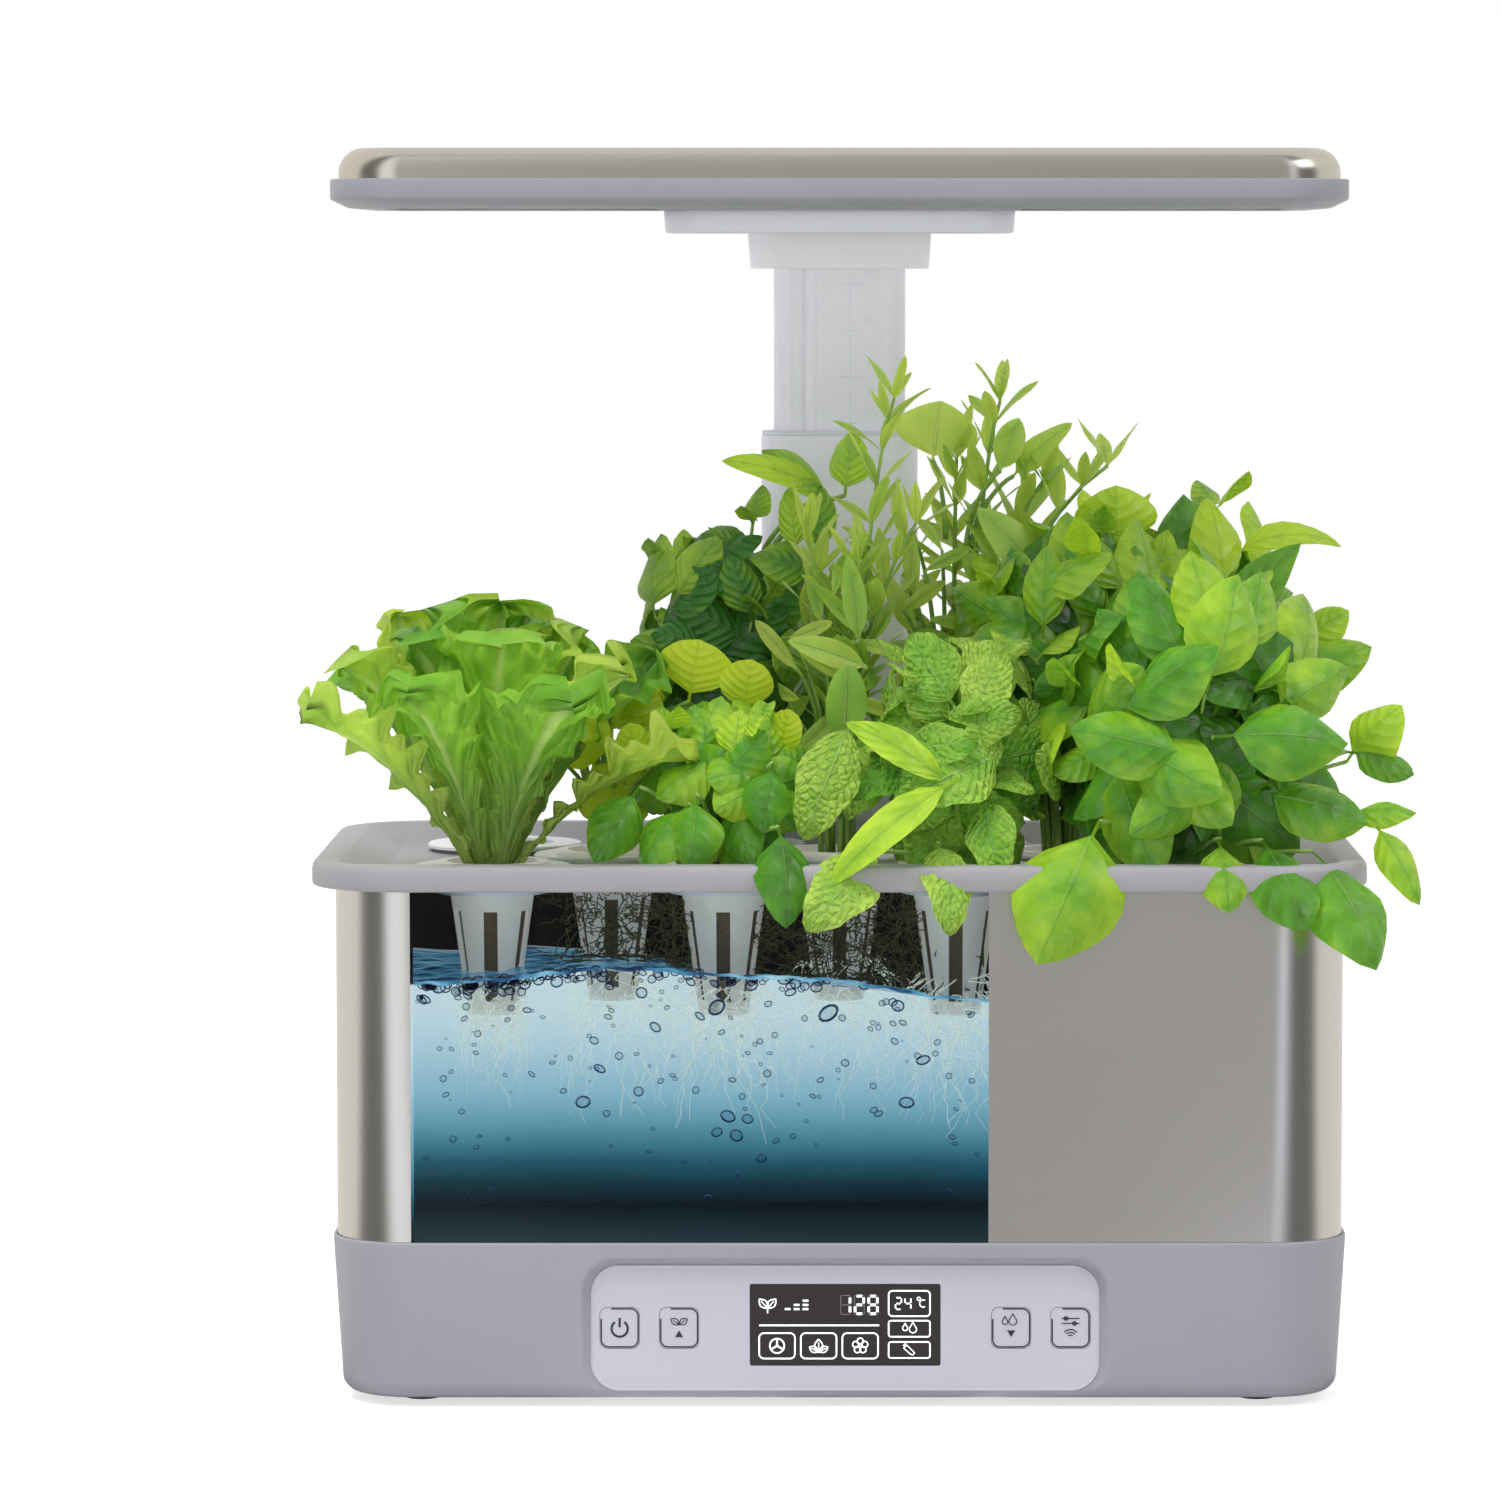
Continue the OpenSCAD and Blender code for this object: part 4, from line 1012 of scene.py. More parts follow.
@dataclass
class BaseUnit(Part):
    """Grey base with its recess, feet, mast foot and socket."""

    width: float = 366.0
    depth: float = 190.0
    radius: float = 29.5
    foot: float = 3.0
    draft: float = 3.2
    edge: float = 6.0
    wall: float = 3.0
    lip: float = 4.0
    recess_margin: float = 3.2
    recess_corner: float = 12.5
    recess_blend: float = 2.4
    key_room_blend: float = 1.4
    ledge: float = 1.3
    socket_wall: float = 8.9
    socket_floor: float = 6.7
    socket_corner: float = 7.0

    def side_inset(self, z: Array | float) -> Array:
        """Lean of the side: draft at the foot's edge, none at the top."""
        top = self.bench.base_top
        return self.draft * np.clip((top - z) / (top - self.foot - self.edge), 0, 1)

    def shell(self) -> Surface:
        """Outer side with the panel's recess pressed into it, and the lip at the top.

        The recess moves front points back to the panel's plane, blended at its edge by a smooth
        step of the distance to a rounded rectangle, and under the panel itself by the panel's
        thickness more, which leaves the keys room.
        """
        low, high = self.bench.box("control_panel")
        top, y0 = self.bench.base_top, self.bench.y0
        profile = [(self.draft + self.edge + self.wall, self.foot)]
        profile += rounded_edge(self.draft, self.foot, self.edge, False, 8)
        heights = np.linspace(self.foot + self.edge, top - 0.8, 44)[1:]
        profile += [(float(self.side_inset(z)), float(z)) for z in heights]
        profile += [(0.15, top - 0.25), (0.5, top), (self.ledge - 0.15, top)]
        profile += [(self.ledge, top - 0.4), (self.ledge, top - self.lip)]
        surface = stack(self.width, self.depth, self.radius, profile, (0, y0), caps=False, along=(320, 1))
        points = surface.points
        half = (high - low) / 2 + self.recess_margin - self.recess_corner
        off_x, _, off_z = (np.abs(points - (low + high) / 2) - half).T
        outside = np.hypot(np.maximum(off_x, 0), np.maximum(off_z, 0)) - self.recess_corner
        gap = outside + np.minimum(np.maximum(off_x, off_z), 0)
        share = smooth_step(-gap / self.recess_blend)
        front = (points[:, 1] < y0 - self.depth / 2 + 12) & (points[:, 2] < top - 1)
        deep = np.clip((-gap - self.recess_margin - 0.4) / self.key_room_blend, 0, 1) * (high[1] - low[1])
        points[:, 1] += np.maximum(low[1] + 0.05 + deep - points[:, 1], 0) * share * front
        return surface

    def inside(self) -> list[Surface]:
        """Underside hollow and the floor that the tank stands on."""
        inner, top, y0 = self.draft + self.wall + 1, self.bench.base_top - self.lip, self.bench.y0
        sides = [(inner + self.edge - 1, self.foot), (inner, self.foot + self.edge + 3), (inner, top - 3)]
        hollow = stack(self.width, self.depth, self.radius, sides, (0, y0), caps=False).flipped()
        seat = stack(self.width, self.depth, self.radius, [(inner, top - 3), (self.ledge, top)], (0, y0))
        seat.quads = seat.quads[:0]
        return [hollow, seat]

    def build(self) -> None:
        """Builds the base and paints its small parts."""
        bench, paint = self.bench, self.paint
        body = [self.shell(), *self.inside()]
        self.add("base_body", body, [paint.shell], "base", "grey_shell", ["base_shell"], 50)
        low, high, size, centre = bench.extent("mast_foot")
        top = high[2]
        steps = rounded_edge(0, low[2], 2.5, False) + rounded_edge(0, top, 2.0, True)
        steps += [(self.socket_wall - 0.2, top), (self.socket_wall, top - 0.4)]
        steps += [(self.socket_wall, low[2] + self.socket_floor)]
        foot = stack(*size, self.socket_corner, steps, centre)
        self.add("mast_socket", [foot], [paint.shell], "base", "grey_shell", ["mast_foot"], 50)
        self.coat({
            "bottom_cover": paint.cover, "case_screws": paint.screw, "rubber_feet": paint.rubber,
            "dc_socket": paint.dark,
        })


class Icon(Enum):
    """Signs on the keys."""

    POWER = "power"
    PLANT = "plant"
    PUMP = "pump"
    SETUP = "setup"


@dataclass
class Signs:
    """Draws strokes on an upright face, at a middle point in X and Z."""

    y_front: float
    depth: float = 0.12
    out: list[Surface] = field(default_factory=list)

    def stroke(self, path: Array, width: float, closed: bool, slot: int = 0) -> None:
        """Stroke along a path."""
        self.out.append(ribbon(path, width, self.y_front, self.depth, closed, slot))

    def line(self, corners: Outline, width: float, slot: int = 0) -> None:
        """Open stroke through corners."""
        self.stroke(polyline(corners), width, False, slot)

    def arc(self, x: float, z: float, r: float, width: float, start: float = 0, end: float = 360) -> None:
        """Stroke round x + r cos a, z + r sin a, from start to end degrees."""
        turn = np.radians(np.linspace(start, end, 28))
        path = np.column_stack([x + r * np.cos(turn), z + r * np.sin(turn)])
        closed = end - start == 360
        self.stroke(path[:-1] if closed else path, width, closed)

    def box(self, x: float, z: float, w: float, h: float, r: float, width: float, gap: float = 0.0) -> None:
        """Rounded frame, which may be open at its upper left corner.

        Args:
            x: Its middle.
            z: Its middle.
            w: Its width.
            h: Its height.
            r: Radius of its corners.
            width: Width of the stroke.
            gap: Way from the corner along which it is open, or 0.
        """
        flat = ring(w, h, r, 6, (16, 16)) + (x, z)
        if gap:
            away = np.max(np.abs(flat - (x - w / 2, z + h / 2)), axis=1)
            flat = opened(flat, away > gap)
        self.stroke(flat, width, not gap)

    def solid(self, outline: Outline) -> None:
        """Filled shape from an anticlockwise outline."""
        self.out.append(plate(np.array(outline, dtype=float), self.y_front, self.depth))

    def drop(self, x: float, z: float, r: float, width: float) -> None:
        """Outline of a drop: a circle drawn out to a point at its top."""
        a = np.radians(np.linspace(-90, 270, 33)[:-1])
        pull = np.maximum(np.sin(a), 0) ** 3
        path = np.column_stack([x + r * np.cos(a) * (1 - 0.55 * pull), z + r * np.sin(a) * (1 + 0.9 * pull)])
        self.stroke(path, width, True)

    def leaf(self, x: float, z: float, size: float, lean: float, width: float) -> None:
        """Outline of a leaf: two arcs that meet in points, with a midrib."""
        s = np.linspace(0, 1, 14)
        half = 0.3 * size * np.sin(math.pi * s)
        a = math.radians(lean)
        along, across = np.array([math.cos(a), math.sin(a)]), np.array([-math.sin(a), math.cos(a)])
        upper = np.outer(s * size, along) + np.outer(half, across)
        lower = np.outer(s * size, along) - np.outer(half, across)
        self.stroke(np.concatenate([lower, upper[::-1][1:-1]]) + (x, z), width, True)
        rib = np.outer(np.linspace(0.0, 0.75, 6) * size, along) + (x, z)
        self.stroke(rib, width * 0.8, False)

    def digit(
        self, x: float, z: float, w: float, h: float, figure: int, width: float, slot: int = 0
    ) -> None:
        """Figure made of up to seven bars, as a lit display shows it.

        Args:
            x: Its middle.
            z: Its middle.
            w: Its width.
            h: Its height.
            figure: Which one, 0 to 9.
            width: Width of the bars.
            slot: Material slot.
        """
        lit = ["abcdef", "bc", "abged", "abgcd", "fgbc", "afgcd", "afgedc", "abc", "abcdefg", "abcdfg"]
        left, right, low, high = x - w / 2, x + w / 2, z - h / 2, z + h / 2
        cut = width * 0.62
        bars = {
            "a": [(left + cut, high), (right - cut, high)],
            "b": [(right, high - cut), (right, z + cut)],
            "c": [(right, z - cut), (right, low + cut)],
            "d": [(left + cut, low), (right - cut, low)],
            "e": [(left, z - cut), (left, low + cut)],
            "f": [(left, high - cut), (left, z + cut)],
            "g": [(left + cut, z), (right - cut, z)],
        }
        for part in lit[figure]:
            self.line(bars[part], width, slot)


@dataclass
class Controls(Part):
    """Panel with its bead, the display's figures and the four keys' signs."""

    key_frame: Triple = (13.2, 13.8, 2.6)
    fine: float = 0.4
    medium: float = 0.55
    bold: float = 0.85
    bead_radius: float = 0.45
    mode_pitch: float = 14.9

    def key_signs(self, node: str, icon: Icon) -> None:
        """Frame with an open corner, and the sign inside it.

        Args:
            node: The key, which is also the body that presses.
            icon: Its sign.
        """
        low, high = self.bench.box(node)
        x, z = (low[0] + high[0]) / 2, (low[2] + high[2]) / 2
        signs = Signs(low[1] - 0.1)
        signs.box(x, z, *self.key_frame, self.medium, gap=3.4)
        if icon is Icon.POWER:
            signs.arc(x, z - 0.3, 2.9, self.bold, 125, 415)
            signs.line([(x, z + 0.2), (x, z + 3.6)], self.bold)
        elif icon is Icon.PLANT:
            for lean in (35, 145):
                signs.leaf(x, z + 1.2, 3.6, lean, self.fine)
            signs.solid([(x - 1.5, z - 3.4), (x + 1.5, z - 3.4), (x, z - 0.9)])
        elif icon is Icon.PUMP:
            signs.drop(x - 2.2, z + 2.2, 1.0, self.fine)
            signs.drop(x + 0.6, z + 2.4, 1.4, self.fine)
            signs.solid([(x - 1.5, z - 0.9), (x, z - 3.4), (x + 1.5, z - 0.9)])
        else:
            for knob, height in ((-1.6, z + 3.4), (1.4, z + 1.6)):
                signs.line([(x - 3.2, height), (x + 3.2, height)], self.fine)
                signs.arc(x + knob, height, 0.6, 0.5)
            for r in (1.0, 2.0, 3.0):
                signs.arc(x, z - 3.6, r, self.fine, 40, 140)
        name, ink = f"{icon.value}_sign", [self.paint.ink]
        self.add(name, signs.out, ink, node, "lens_dark", smooth_deg=SHARP_SIGN)
        self.coat({node: self.paint.panel})

    def figures(self, signs: Signs, x: float, z: float) -> None:
        """Seedling, rising bars and a number of three figures, over a line.

        Args:
            signs: Where the strokes go.
            x: Left edge of the display.
            z: Top edge of the display.
        """
        for lean in (48, 132):
            signs.leaf(x + 6.2, z - 8.6, 4.4, lean, 0.45)
        signs.line([(x + 6.2, z - 8.8), (x + 6.2, z - 10.4)], 0.45)
        for k, up in [(k, up) for k in range(3) for up in range(k + 1)]:
            left, height = x + 12.4 + 3.2 * k, z - 8.9 + 1.5 * up
            signs.line([(left, height), (left + 2, height)], 0.7)
        for k, figure in enumerate([1, 2, 8]):
            middle = x + 34.2 + 4.9 * k
            signs.digit(middle, z - 7.4, 3.1, 6.4, figure, 0.9)
            signs.digit(middle, z - 7.4, 3.5, 6.8, 8, 0.22, 1)
        signs.line([(x + 3.2, z - 14.8), (x + 46.2, z - 14.8)], self.medium)

    def modes(self, signs: Signs, x: float, z: float) -> None:
        """Three frames in a row, with a dial, a plant and a flower in them.

        Args:
            signs: Where the strokes go.
            x: Middle of the first frame.
            z: Middle of all three.
        """
        pitch = self.mode_pitch
        for k in range(3):
            signs.box(x + pitch * k, z, 12.8, 9.2, 1.7, 0.5)
        signs.arc(x, z, 2.6, 0.5)
        for a in np.radians((90, 210, 330)):
            signs.line([(x, z), (x + 2.2 * math.cos(a), z + 2.2 * math.sin(a))], 0.6)
        x += pitch
        signs.leaf(x, z - 2.4, 4.8, 90, 0.45)
        signs.leaf(x - 0.2, z - 2.2, 3.6, 150, self.fine)
        signs.leaf(x + 0.2, z - 2.2, 3.6, 30, self.fine)
        x += pitch
        for a in np.radians(np.arange(90, 450, 72)):
            signs.arc(x + 1.7 * math.cos(a), z + 1.7 * math.sin(a), 1.1, self.fine)
        signs.arc(x, z, 0.6, self.fine)

    def readings(self, signs: Signs, x: float, z: float) -> None:
        """Temperature, water and bottle, in frames that stand one under the other.

        Args:
            signs: Where the strokes go.
            x: Middle of the frames.
            z: Top edge of the display.
        """
        signs.box(x, z - 6.9, 14.8, 9.2, 1.4, 0.5)
        for k, figure in enumerate([2, 4]):
            signs.digit(x - 3.9 + 3.4 * k, z - 6.9, 2.1, 4.2, figure, 0.5)
        signs.arc(x + 3.4, z - 5.2, 0.6, 0.3)
        signs.arc(x + 5.0, z - 6.9, 1.3, 0.35, 60, 300)
        signs.box(x, z - 16.0, 14.8, 5.8, 0.9, 0.5)
        signs.drop(x - 1.5, z - 15.8, 0.9, 0.35)
        signs.drop(x + 1.3, z - 16.2, 1.3, 0.35)
        signs.box(x, z - 23.7, 14.8, 5.8, 0.9, 0.5)
        bottle = [(-2.0, 0.6), (-0.9, 1.7), (1.4, -0.6), (1.9, -1.2), (1.2, -1.9), (0.4, -1.6), (-2.0, 0.6)]
        signs.line([(x + a, z - 23.6 + b) for a, b in bottle], 0.35)
        signs.line([(x - 2.2, z - 22.2), (x - 1.2, z - 21.3)], self.fine)

    def display(self) -> None:
        """Everything that the display shows."""
        low, high = self.bench.box("display_lens")
        left, top = low[0], high[2]
        signs = Signs(low[1] - 0.08, 0.1)
        self.figures(signs, left, top)
        self.modes(signs, left + 9.6, top - 22.2)
        self.readings(signs, left + 57.0, top)
        inks = [self.paint.lit, self.paint.faint]
        self.add("display_signs", signs.out, inks, "base", "chip_yellow", smooth_deg=SHARP_SIGN)

    def bead(self) -> None:
        """Fine rounded bead round the panel, carried along its outline."""
        low, high = self.bench.box("control_panel")
        size, r = high - low, self.bead_radius
        flat = ring(size[0] - 0.5, size[2] - 0.5, 9.8, 14, (40, 8)) + (low + high)[[0, 2]] / 2
        turn = np.linspace(0, 2 * math.pi, 8, endpoint=False)
        section = [(r * math.cos(a), low[1] + 0.1 - r * math.sin(a)) for a in turn]
        grid = carried(flat, section, True)[..., [0, 2, 1]].swapaxes(0, 1)
        surface = Surface.grid(grid, True, True)
        self.add("panel_bead", [surface], [self.paint.panel], "base", "panel_silver")

    def build(self) -> None:
        """Dresses the whole panel."""
        for icon in Icon:
            self.key_signs(f"{icon.value}_key", icon)
        self.display()
        self.bead()
        paint = self.paint
        self.coat({"control_panel": paint.panel, "display_lens": paint.lens, "control_board": paint.board})


# ---- Body, water and deck ----


@dataclass
class SteelWrap(Part):
    """Steel sheet round the tank, open at the window."""

    width: float = 363.0
    depth: float = 187.0
    radius: float = 28.0
    thick: float = 0.8

    def build(self) -> None:
        """Carries the sheet's section round the outline, from one side of the window to the other."""
        low, high = self.bench.box("window_pane")
        left, right = low[0] - 0.1, high[0] + 0.1
        z0, z1 = (corner[2] for corner in self.bench.box("steel_sleeve"))
        face = -self.depth / 2
        outer = ring(self.width, self.depth, self.radius, 40, (60, 20))
        hidden = (outer[:, 1] < face + 0.01) & (outer[:, 0] > left) & (outer[:, 0] < right)
        path = np.concatenate([[[right, face]], opened(outer, ~hidden), [[left, face]]])
        section = [(0.0, z0), (0.0, z1), (-self.thick, z1), (-self.thick, z0)]
        grid = carried(path, section, False) + (0, self.bench.y0, 0)
        surface = Surface.grid(grid, False, True, True).flipped()
        self.add("steel_wrap", [surface], [self.paint.steel], "base", "body_steel", ["steel_sleeve"], 40)
        paint = self.paint
        self.coat({
            "window_pane": paint.pane, "water_tank": paint.tank, "pump_body": paint.dark,
            "pump_cover": paint.dark, "pump_impeller": paint.white, "level_sensor": paint.white,
        })


@dataclass
class Water(Part):
    """What the window shows: coloured water, its rippled top, bubbles and roots.

    A big bubble is its x, its depth under the deck and its radius.
    """

    half_width: float = 177.0
    corner: float = 22.0
    front: float = -89.2
    back: float = 17.0
    window: Pair = (-152.0, 54.0)
    usual_depth: float = 33.0
    full_depth: float = 90.0
    big: tuple[Triple, ...] = (
        (-86, 65, 2.5), (-92, 77, 2.9), (-72, 73, 1.9), (-44, 43, 3.6), (-50, 46, 2.2), (-4, 45, 4.2),
        (-40, 82, 3.0), (-33, 83, 2.2), (-37, 89, 2.6), (-44, 88, 2.2), (30, 62, 2.8), (24, 77, 3.0),
        (-112, 44, 1.8), (14, 81, 1.8), (2, 63, 1.6), (-66, 50, 2.4), (-88, 55, 1.8), (-28, 97, 2.0),
    )

    def level(self, x: Array, depth_share: Array | float) -> Array:
        """Height of the waterline: a low swell in front, and a slope down to the right behind."""
        near = -35.6 + 6.4 * np.cos((x + 72) / 56) + 0.9 * np.sin((x + 20) / 13)
        far = -31.5 - 19 * smooth_step((x + 120) / 170) + 0.8 * np.sin(x / 19) + 0.5 * np.sin(x / 7)
        return self.bench.deck_under + near * (1 - depth_share) + far * depth_share

    def half(self, y: Array) -> Array:
        """Half width of the water at depth y, drawn in round the tank's front corners."""
        r = self.corner
        short = np.clip(r - (y - self.front), 0, r)
        return self.half_width - (r - np.sqrt(r * r - short * short))

    def liner(self) -> Surface:
        """Back and sides of the coloured water: a rounded outline that is open behind the window."""
        middle = (self.back + self.front) / 2
        flat = ring(2 * self.half_width, self.back - self.front, self.corner, 10, (120, 30)) + (0, middle)
        left, right = self.window
        shown = (flat[:, 1] < self.front + 0.1) & (flat[:, 0] > left) & (flat[:, 0] < right)
        x, y = opened(flat, ~shown).T
        floor = self.bench.tank_floor
        z, x = np.meshgrid(np.linspace(floor, self.bench.tank_top - 0.4, 64), x, indexing="ij")
        y = np.broadcast_to(y, x.shape)
        below = self.level(x, (y - self.front) / (self.back - self.front)) - z
        height = (z - floor) / (self.bench.deck_under - self.usual_depth - floor)
        grid = np.stack([x, y + self.bench.y0, z], axis=-1)
        return Surface.grid(grid, values={"below": below, "height": height})

    def top(self) -> Surface:
        """Rippled top of the water, a grid over X and Y with small sine ripples."""
        side, share = np.meshgrid(np.linspace(-1, 1, 260), np.linspace(0, 1, 50))
        y = self.front + (self.back - self.front) * share
        x = side * (self.half(y) - 0.5)
        ripple = 0.35 * np.sin(x / 3.1 + 3 * share) * np.sin(y / 5.0) + 0.25 * np.sin(x / 1.7 + y / 3.3)
        z = self.level(x, share) + ripple * np.sin(math.pi * np.clip(share, 0.04, 1))
        return Surface.grid(np.stack([x, y + self.bench.y0, z], axis=-1), slot=1).flipped()

    def floor(self) -> Surface:
        """Bottom of the water, far below its top, painted dark as shade by the water's depth ramp."""
        side, y = np.meshgrid([-1, 1], np.linspace(self.front, self.back, 24))
        x = side * self.half(y)
        grid = np.stack([x, y + self.bench.y0, np.full(x.shape, self.bench.tank_floor)], axis=-1)
        zero = np.zeros(x.shape)
        return Surface.grid(grid, values={"below": zero + self.full_depth, "height": zero}).flipped()

    def bubbles(self) -> Surface:
        """Squashed and tilted globes: half of them by the waterline, the others strewn under it.

        Before its tilt a globe is r cos v cos u, r cos v sin u and r q sin v, with the squash q.
        """
        rng = np.random.default_rng(SEED)
        count, (left, right), big = 260, self.window, np.array(self.big)
        line = rng.random(count) < 0.5
        strewn = rng.beta(0.8, 1.9, count), rng.uniform(left + 2, right - 4, count)
        x = np.where(line, left + 1 + 190 * strewn[0], strewn[1])
        depth = np.where(line, rng.gamma(1.4, 1.6, count), 4 + rng.beta(1.2, 1.9, count) * 78)
        size = np.where(line, rng.uniform(0.8, 2.6, count), rng.uniform(0.5, 1.6, count))
        x = np.concatenate([x, big[:, 0]])
        z = np.concatenate([self.level(x[:count], 0.0) - depth, self.bench.deck_under - big[:, 1]])
        size = np.concatenate([size, big[:, 2]])
        total = len(x)
        y = np.full(total, self.front + 3.6) + rng.uniform(0, 3, total)
        squash = rng.uniform(0.55, 1.0, total)
        tilt = rng.uniform(-0.7, 0.7, total)
        x, y, z, size, squash, tilt = (v[:, None, None] for v in (x, y, z, size, squash, tilt))
        v = np.linspace(-math.pi / 2, math.pi / 2, 7)[:, None]
        u = np.linspace(0, 2 * math.pi, 11)[:-1]
        a = size * np.cos(v) * np.cos(u)
        b = size * np.cos(v) * np.sin(u)
        c = size * np.sin(v) * squash
        turned = x + a * np.cos(tilt) - c * np.sin(tilt), z + a * np.sin(tilt) + c * np.cos(tilt)
        points = np.stack([turned[0], y + b + self.bench.y0, turned[1]], axis=-1)
        return Surface.many(points[:, :, ::-1], wrap_columns=True)

    def mat(self) -> Surface:
        """Tangle of root threads under the deck: short random walks of a three-sided section."""
        rng = np.random.default_rng(SEED + 5)
        count, steps = 1100, 9
        start = np.stack([
            -104 + 157 * rng.random(count) ** 0.8, rng.uniform(self.front + 34, self.front + 58, count),
            self.bench.deck_under - rng.uniform(1, 40, count),
        ], axis=1)
        heading = rng.normal(0, 1, (count, 1, 3)) * (1, 0.4, 1)
        path = start[:, None] + np.cumsum(0.9 * heading + rng.normal(0, 1.0, (count, steps, 3)), axis=1)
        path[..., 0] = np.clip(path[..., 0], self.window[0] + 2, self.window[1] - 2)
        path[..., 1] = np.clip(path[..., 1], self.front + 30, self.front + 64)
        share = (path[..., 1] - self.front) / (self.back - self.front)
        low = self.level(path[..., 0], share) + rng.uniform(0, 3, (count, 1))
        path[..., 1] += self.bench.y0
        path[..., 2] = np.clip(path[..., 2], low, self.bench.deck_under - 0.6)
        offsets = 0.24 * np.stack([np.cos(THIRDS), 0 * THIRDS, np.sin(THIRDS)], axis=1)
        return Surface.many(path[:, :, None] + offsets, wrap_columns=True)

    def waterline(self) -> Surface:
        """Dark uneven line where the top meets the pane: painted shade along the meniscus, in the rippled
        water's finish.
        """
        x = np.linspace(self.window[0], self.window[1] - 1, 500)
        z = self.level(x, 0.0) + 0.5 * np.sin(x / 2.3) * np.sin(x / 7.1)
        path = np.column_stack([x, np.full(len(x), self.front + 1.2 + self.bench.y0), z])
        radius = 0.5 + 0.45 * np.abs(np.sin(x / 5.3) * np.sin(x / 13.7))
        return tube(path, radius, 6, 1)

    def build(self) -> None:
        """Builds the water and its bubbles."""
        wet = [self.paint.water, self.paint.ripples]
        self.add("tank_water", [self.liner(), self.floor(), self.top()], wet, "base", "tank_clear")
        self.add("waterline", [self.waterline()], wet, "base", "tank_clear")
        self.add("bubbles", [self.bubbles()], [self.paint.bubble], "base", "tank_clear")
        self.add("root_mat", [self.mat()], [self.paint.mat], "deck", "sponge_brown")


@dataclass
class Deck(Part):
    """Tray with a sunk floor, its white rings, the flap and the baskets."""

    width: float = 380.0
    depth: float = 204.0
    radius: float = 36.5
    rim_width: float = 11.0
    slope_width: float = 13.0
    slope_corner: Pair = (11.0, 5.0)
    hole: float = 19.9
    collar: float = 26.5
    port_left: float = 116.0

    def frame_ring(self) -> Surface:
        """Band, flat rim and slope as one closed section carried round the deck."""
        under, top, floor = self.bench.deck_under, self.bench.rim, self.bench.deck_floor
        inner, foot = self.rim_width, self.rim_width + self.slope_width
        profile = [(14.0, under), (0.9, under), (0.25, under + 0.5), (0.0, under + 1.4)]
        profile += [(0.0, top - 3.0), (0.35, top - 1.6), (1.0, top - 0.6), (2.0, top - 0.1), (3.0, top)]
        profile += [(inner - 0.6, top), (inner + 0.4, top - 0.35), (foot - 0.8, floor + 0.35)]
        profile += [(foot + 0.6, floor), (foot + 0.6, under), (20.0, under)]
        rows = []
        for inset, height in profile:
            r = max(self.radius - inset, 0.4)
            if inset >= inner - 0.6:
                r = float(np.interp(inset, (inner, foot), self.slope_corner))
            flat = ring(self.width - 2 * inset, self.depth - 2 * inset, r, 14) + (0, self.bench.y0)
            rows.append(at_height(flat, height))
        return Surface.grid(np.stack(rows)[:, ::-1], True, True)

    def cell(
        self, x0: float, x1: float, y0: float, y1: float, hole: Callable[[Array], Array], steps: int = 96
    ) -> Surface:
        """Piece of the floor between a rectangle and a hole, as a closed ring.

        A ray from the hole's middle at each angle gives one point on the rectangle and one on
        the hole, and the ring runs over the top, the hole's wall and the underside.

        Args:
            x0: Left side.
            x1: Right side.
            y0: Front side, from the body's middle.
            y1: Back side.
            hole: Gives the hole's points at an array of angles.
            steps: How many rays.

        Returns:
            The piece.
        """
        turn = np.linspace(0, 2 * math.pi, steps, endpoint=False)
        inner = hole(turn)
        centre = inner.mean(axis=0)
        corners = np.array([[x0, y0], [x1, y0], [x1, y1], [x0, y1]])
        angles = np.arctan2(corners[:, 1] - centre[1], corners[:, 0] - centre[0]) % (2 * math.pi)
        for angle in angles:
            turn[int(np.argmin(np.abs(turn - angle)))] = angle
        turn = np.sort(turn)
        inner = hole(turn)
        cos, sin = np.cos(turn), np.sin(turn)
        reach_x = np.where(cos > 0, x1 - centre[0], centre[0] - x0) / np.maximum(np.abs(cos), 1e-9)
        reach_y = np.where(sin > 0, y1 - centre[1], centre[1] - y0) / np.maximum(np.abs(sin), 1e-9)
        reach = np.minimum(reach_x, reach_y)
        outer = centre + reach[:, None] * np.column_stack([cos, sin])
        low = self.bench.deck_under - 0.15
        rows = [(outer, self.bench.deck_floor), (inner, self.bench.deck_floor), (inner, low), (outer, low)]
        stacked = [at_height(flat + (0, self.bench.y0), z) for flat, z in rows]
        return Surface.grid(np.stack(stacked), True, True)

    def floor_cells(self) -> list[Surface]:
        """The whole floor, row by row from the front.

        Each of the eleven holes has a cell and a collar, and the filling port has a cell. The
        edges are the X of the lines between the cells of a row.
        """
        half_x = self.width / 2 - self.rim_width - self.slope_width
        half_y = self.depth / 2 - self.rim_width - self.slope_width
        band = ROW / 2
        four = (-half_x, -PITCH, 0.0, PITCH, half_x)
        three = (-half_x, -PITCH / 2, PITCH / 2, self.port_left)
        turn = np.linspace(0, 2 * math.pi, 64, endpoint=False)
        circle = np.column_stack([np.cos(turn), np.sin(turn)])
        out = []
        rows = [(-ROW, -half_y, -band, four), (0.0, -band, band, three), (ROW, band, half_y, four)]
        for y, y0, y1, edges, k in [(*row, k) for row in rows for k in range(len(row[3]) - 1)]:
            x = PITCH * (k - len(edges) / 2 + 1)

            def bore(turn: Array, cx: float = x, cy: float = y) -> Array:
                """Circle round the hole's middle."""
                return np.column_stack([cx + self.hole * np.cos(turn), cy + self.hole * np.sin(turn)])

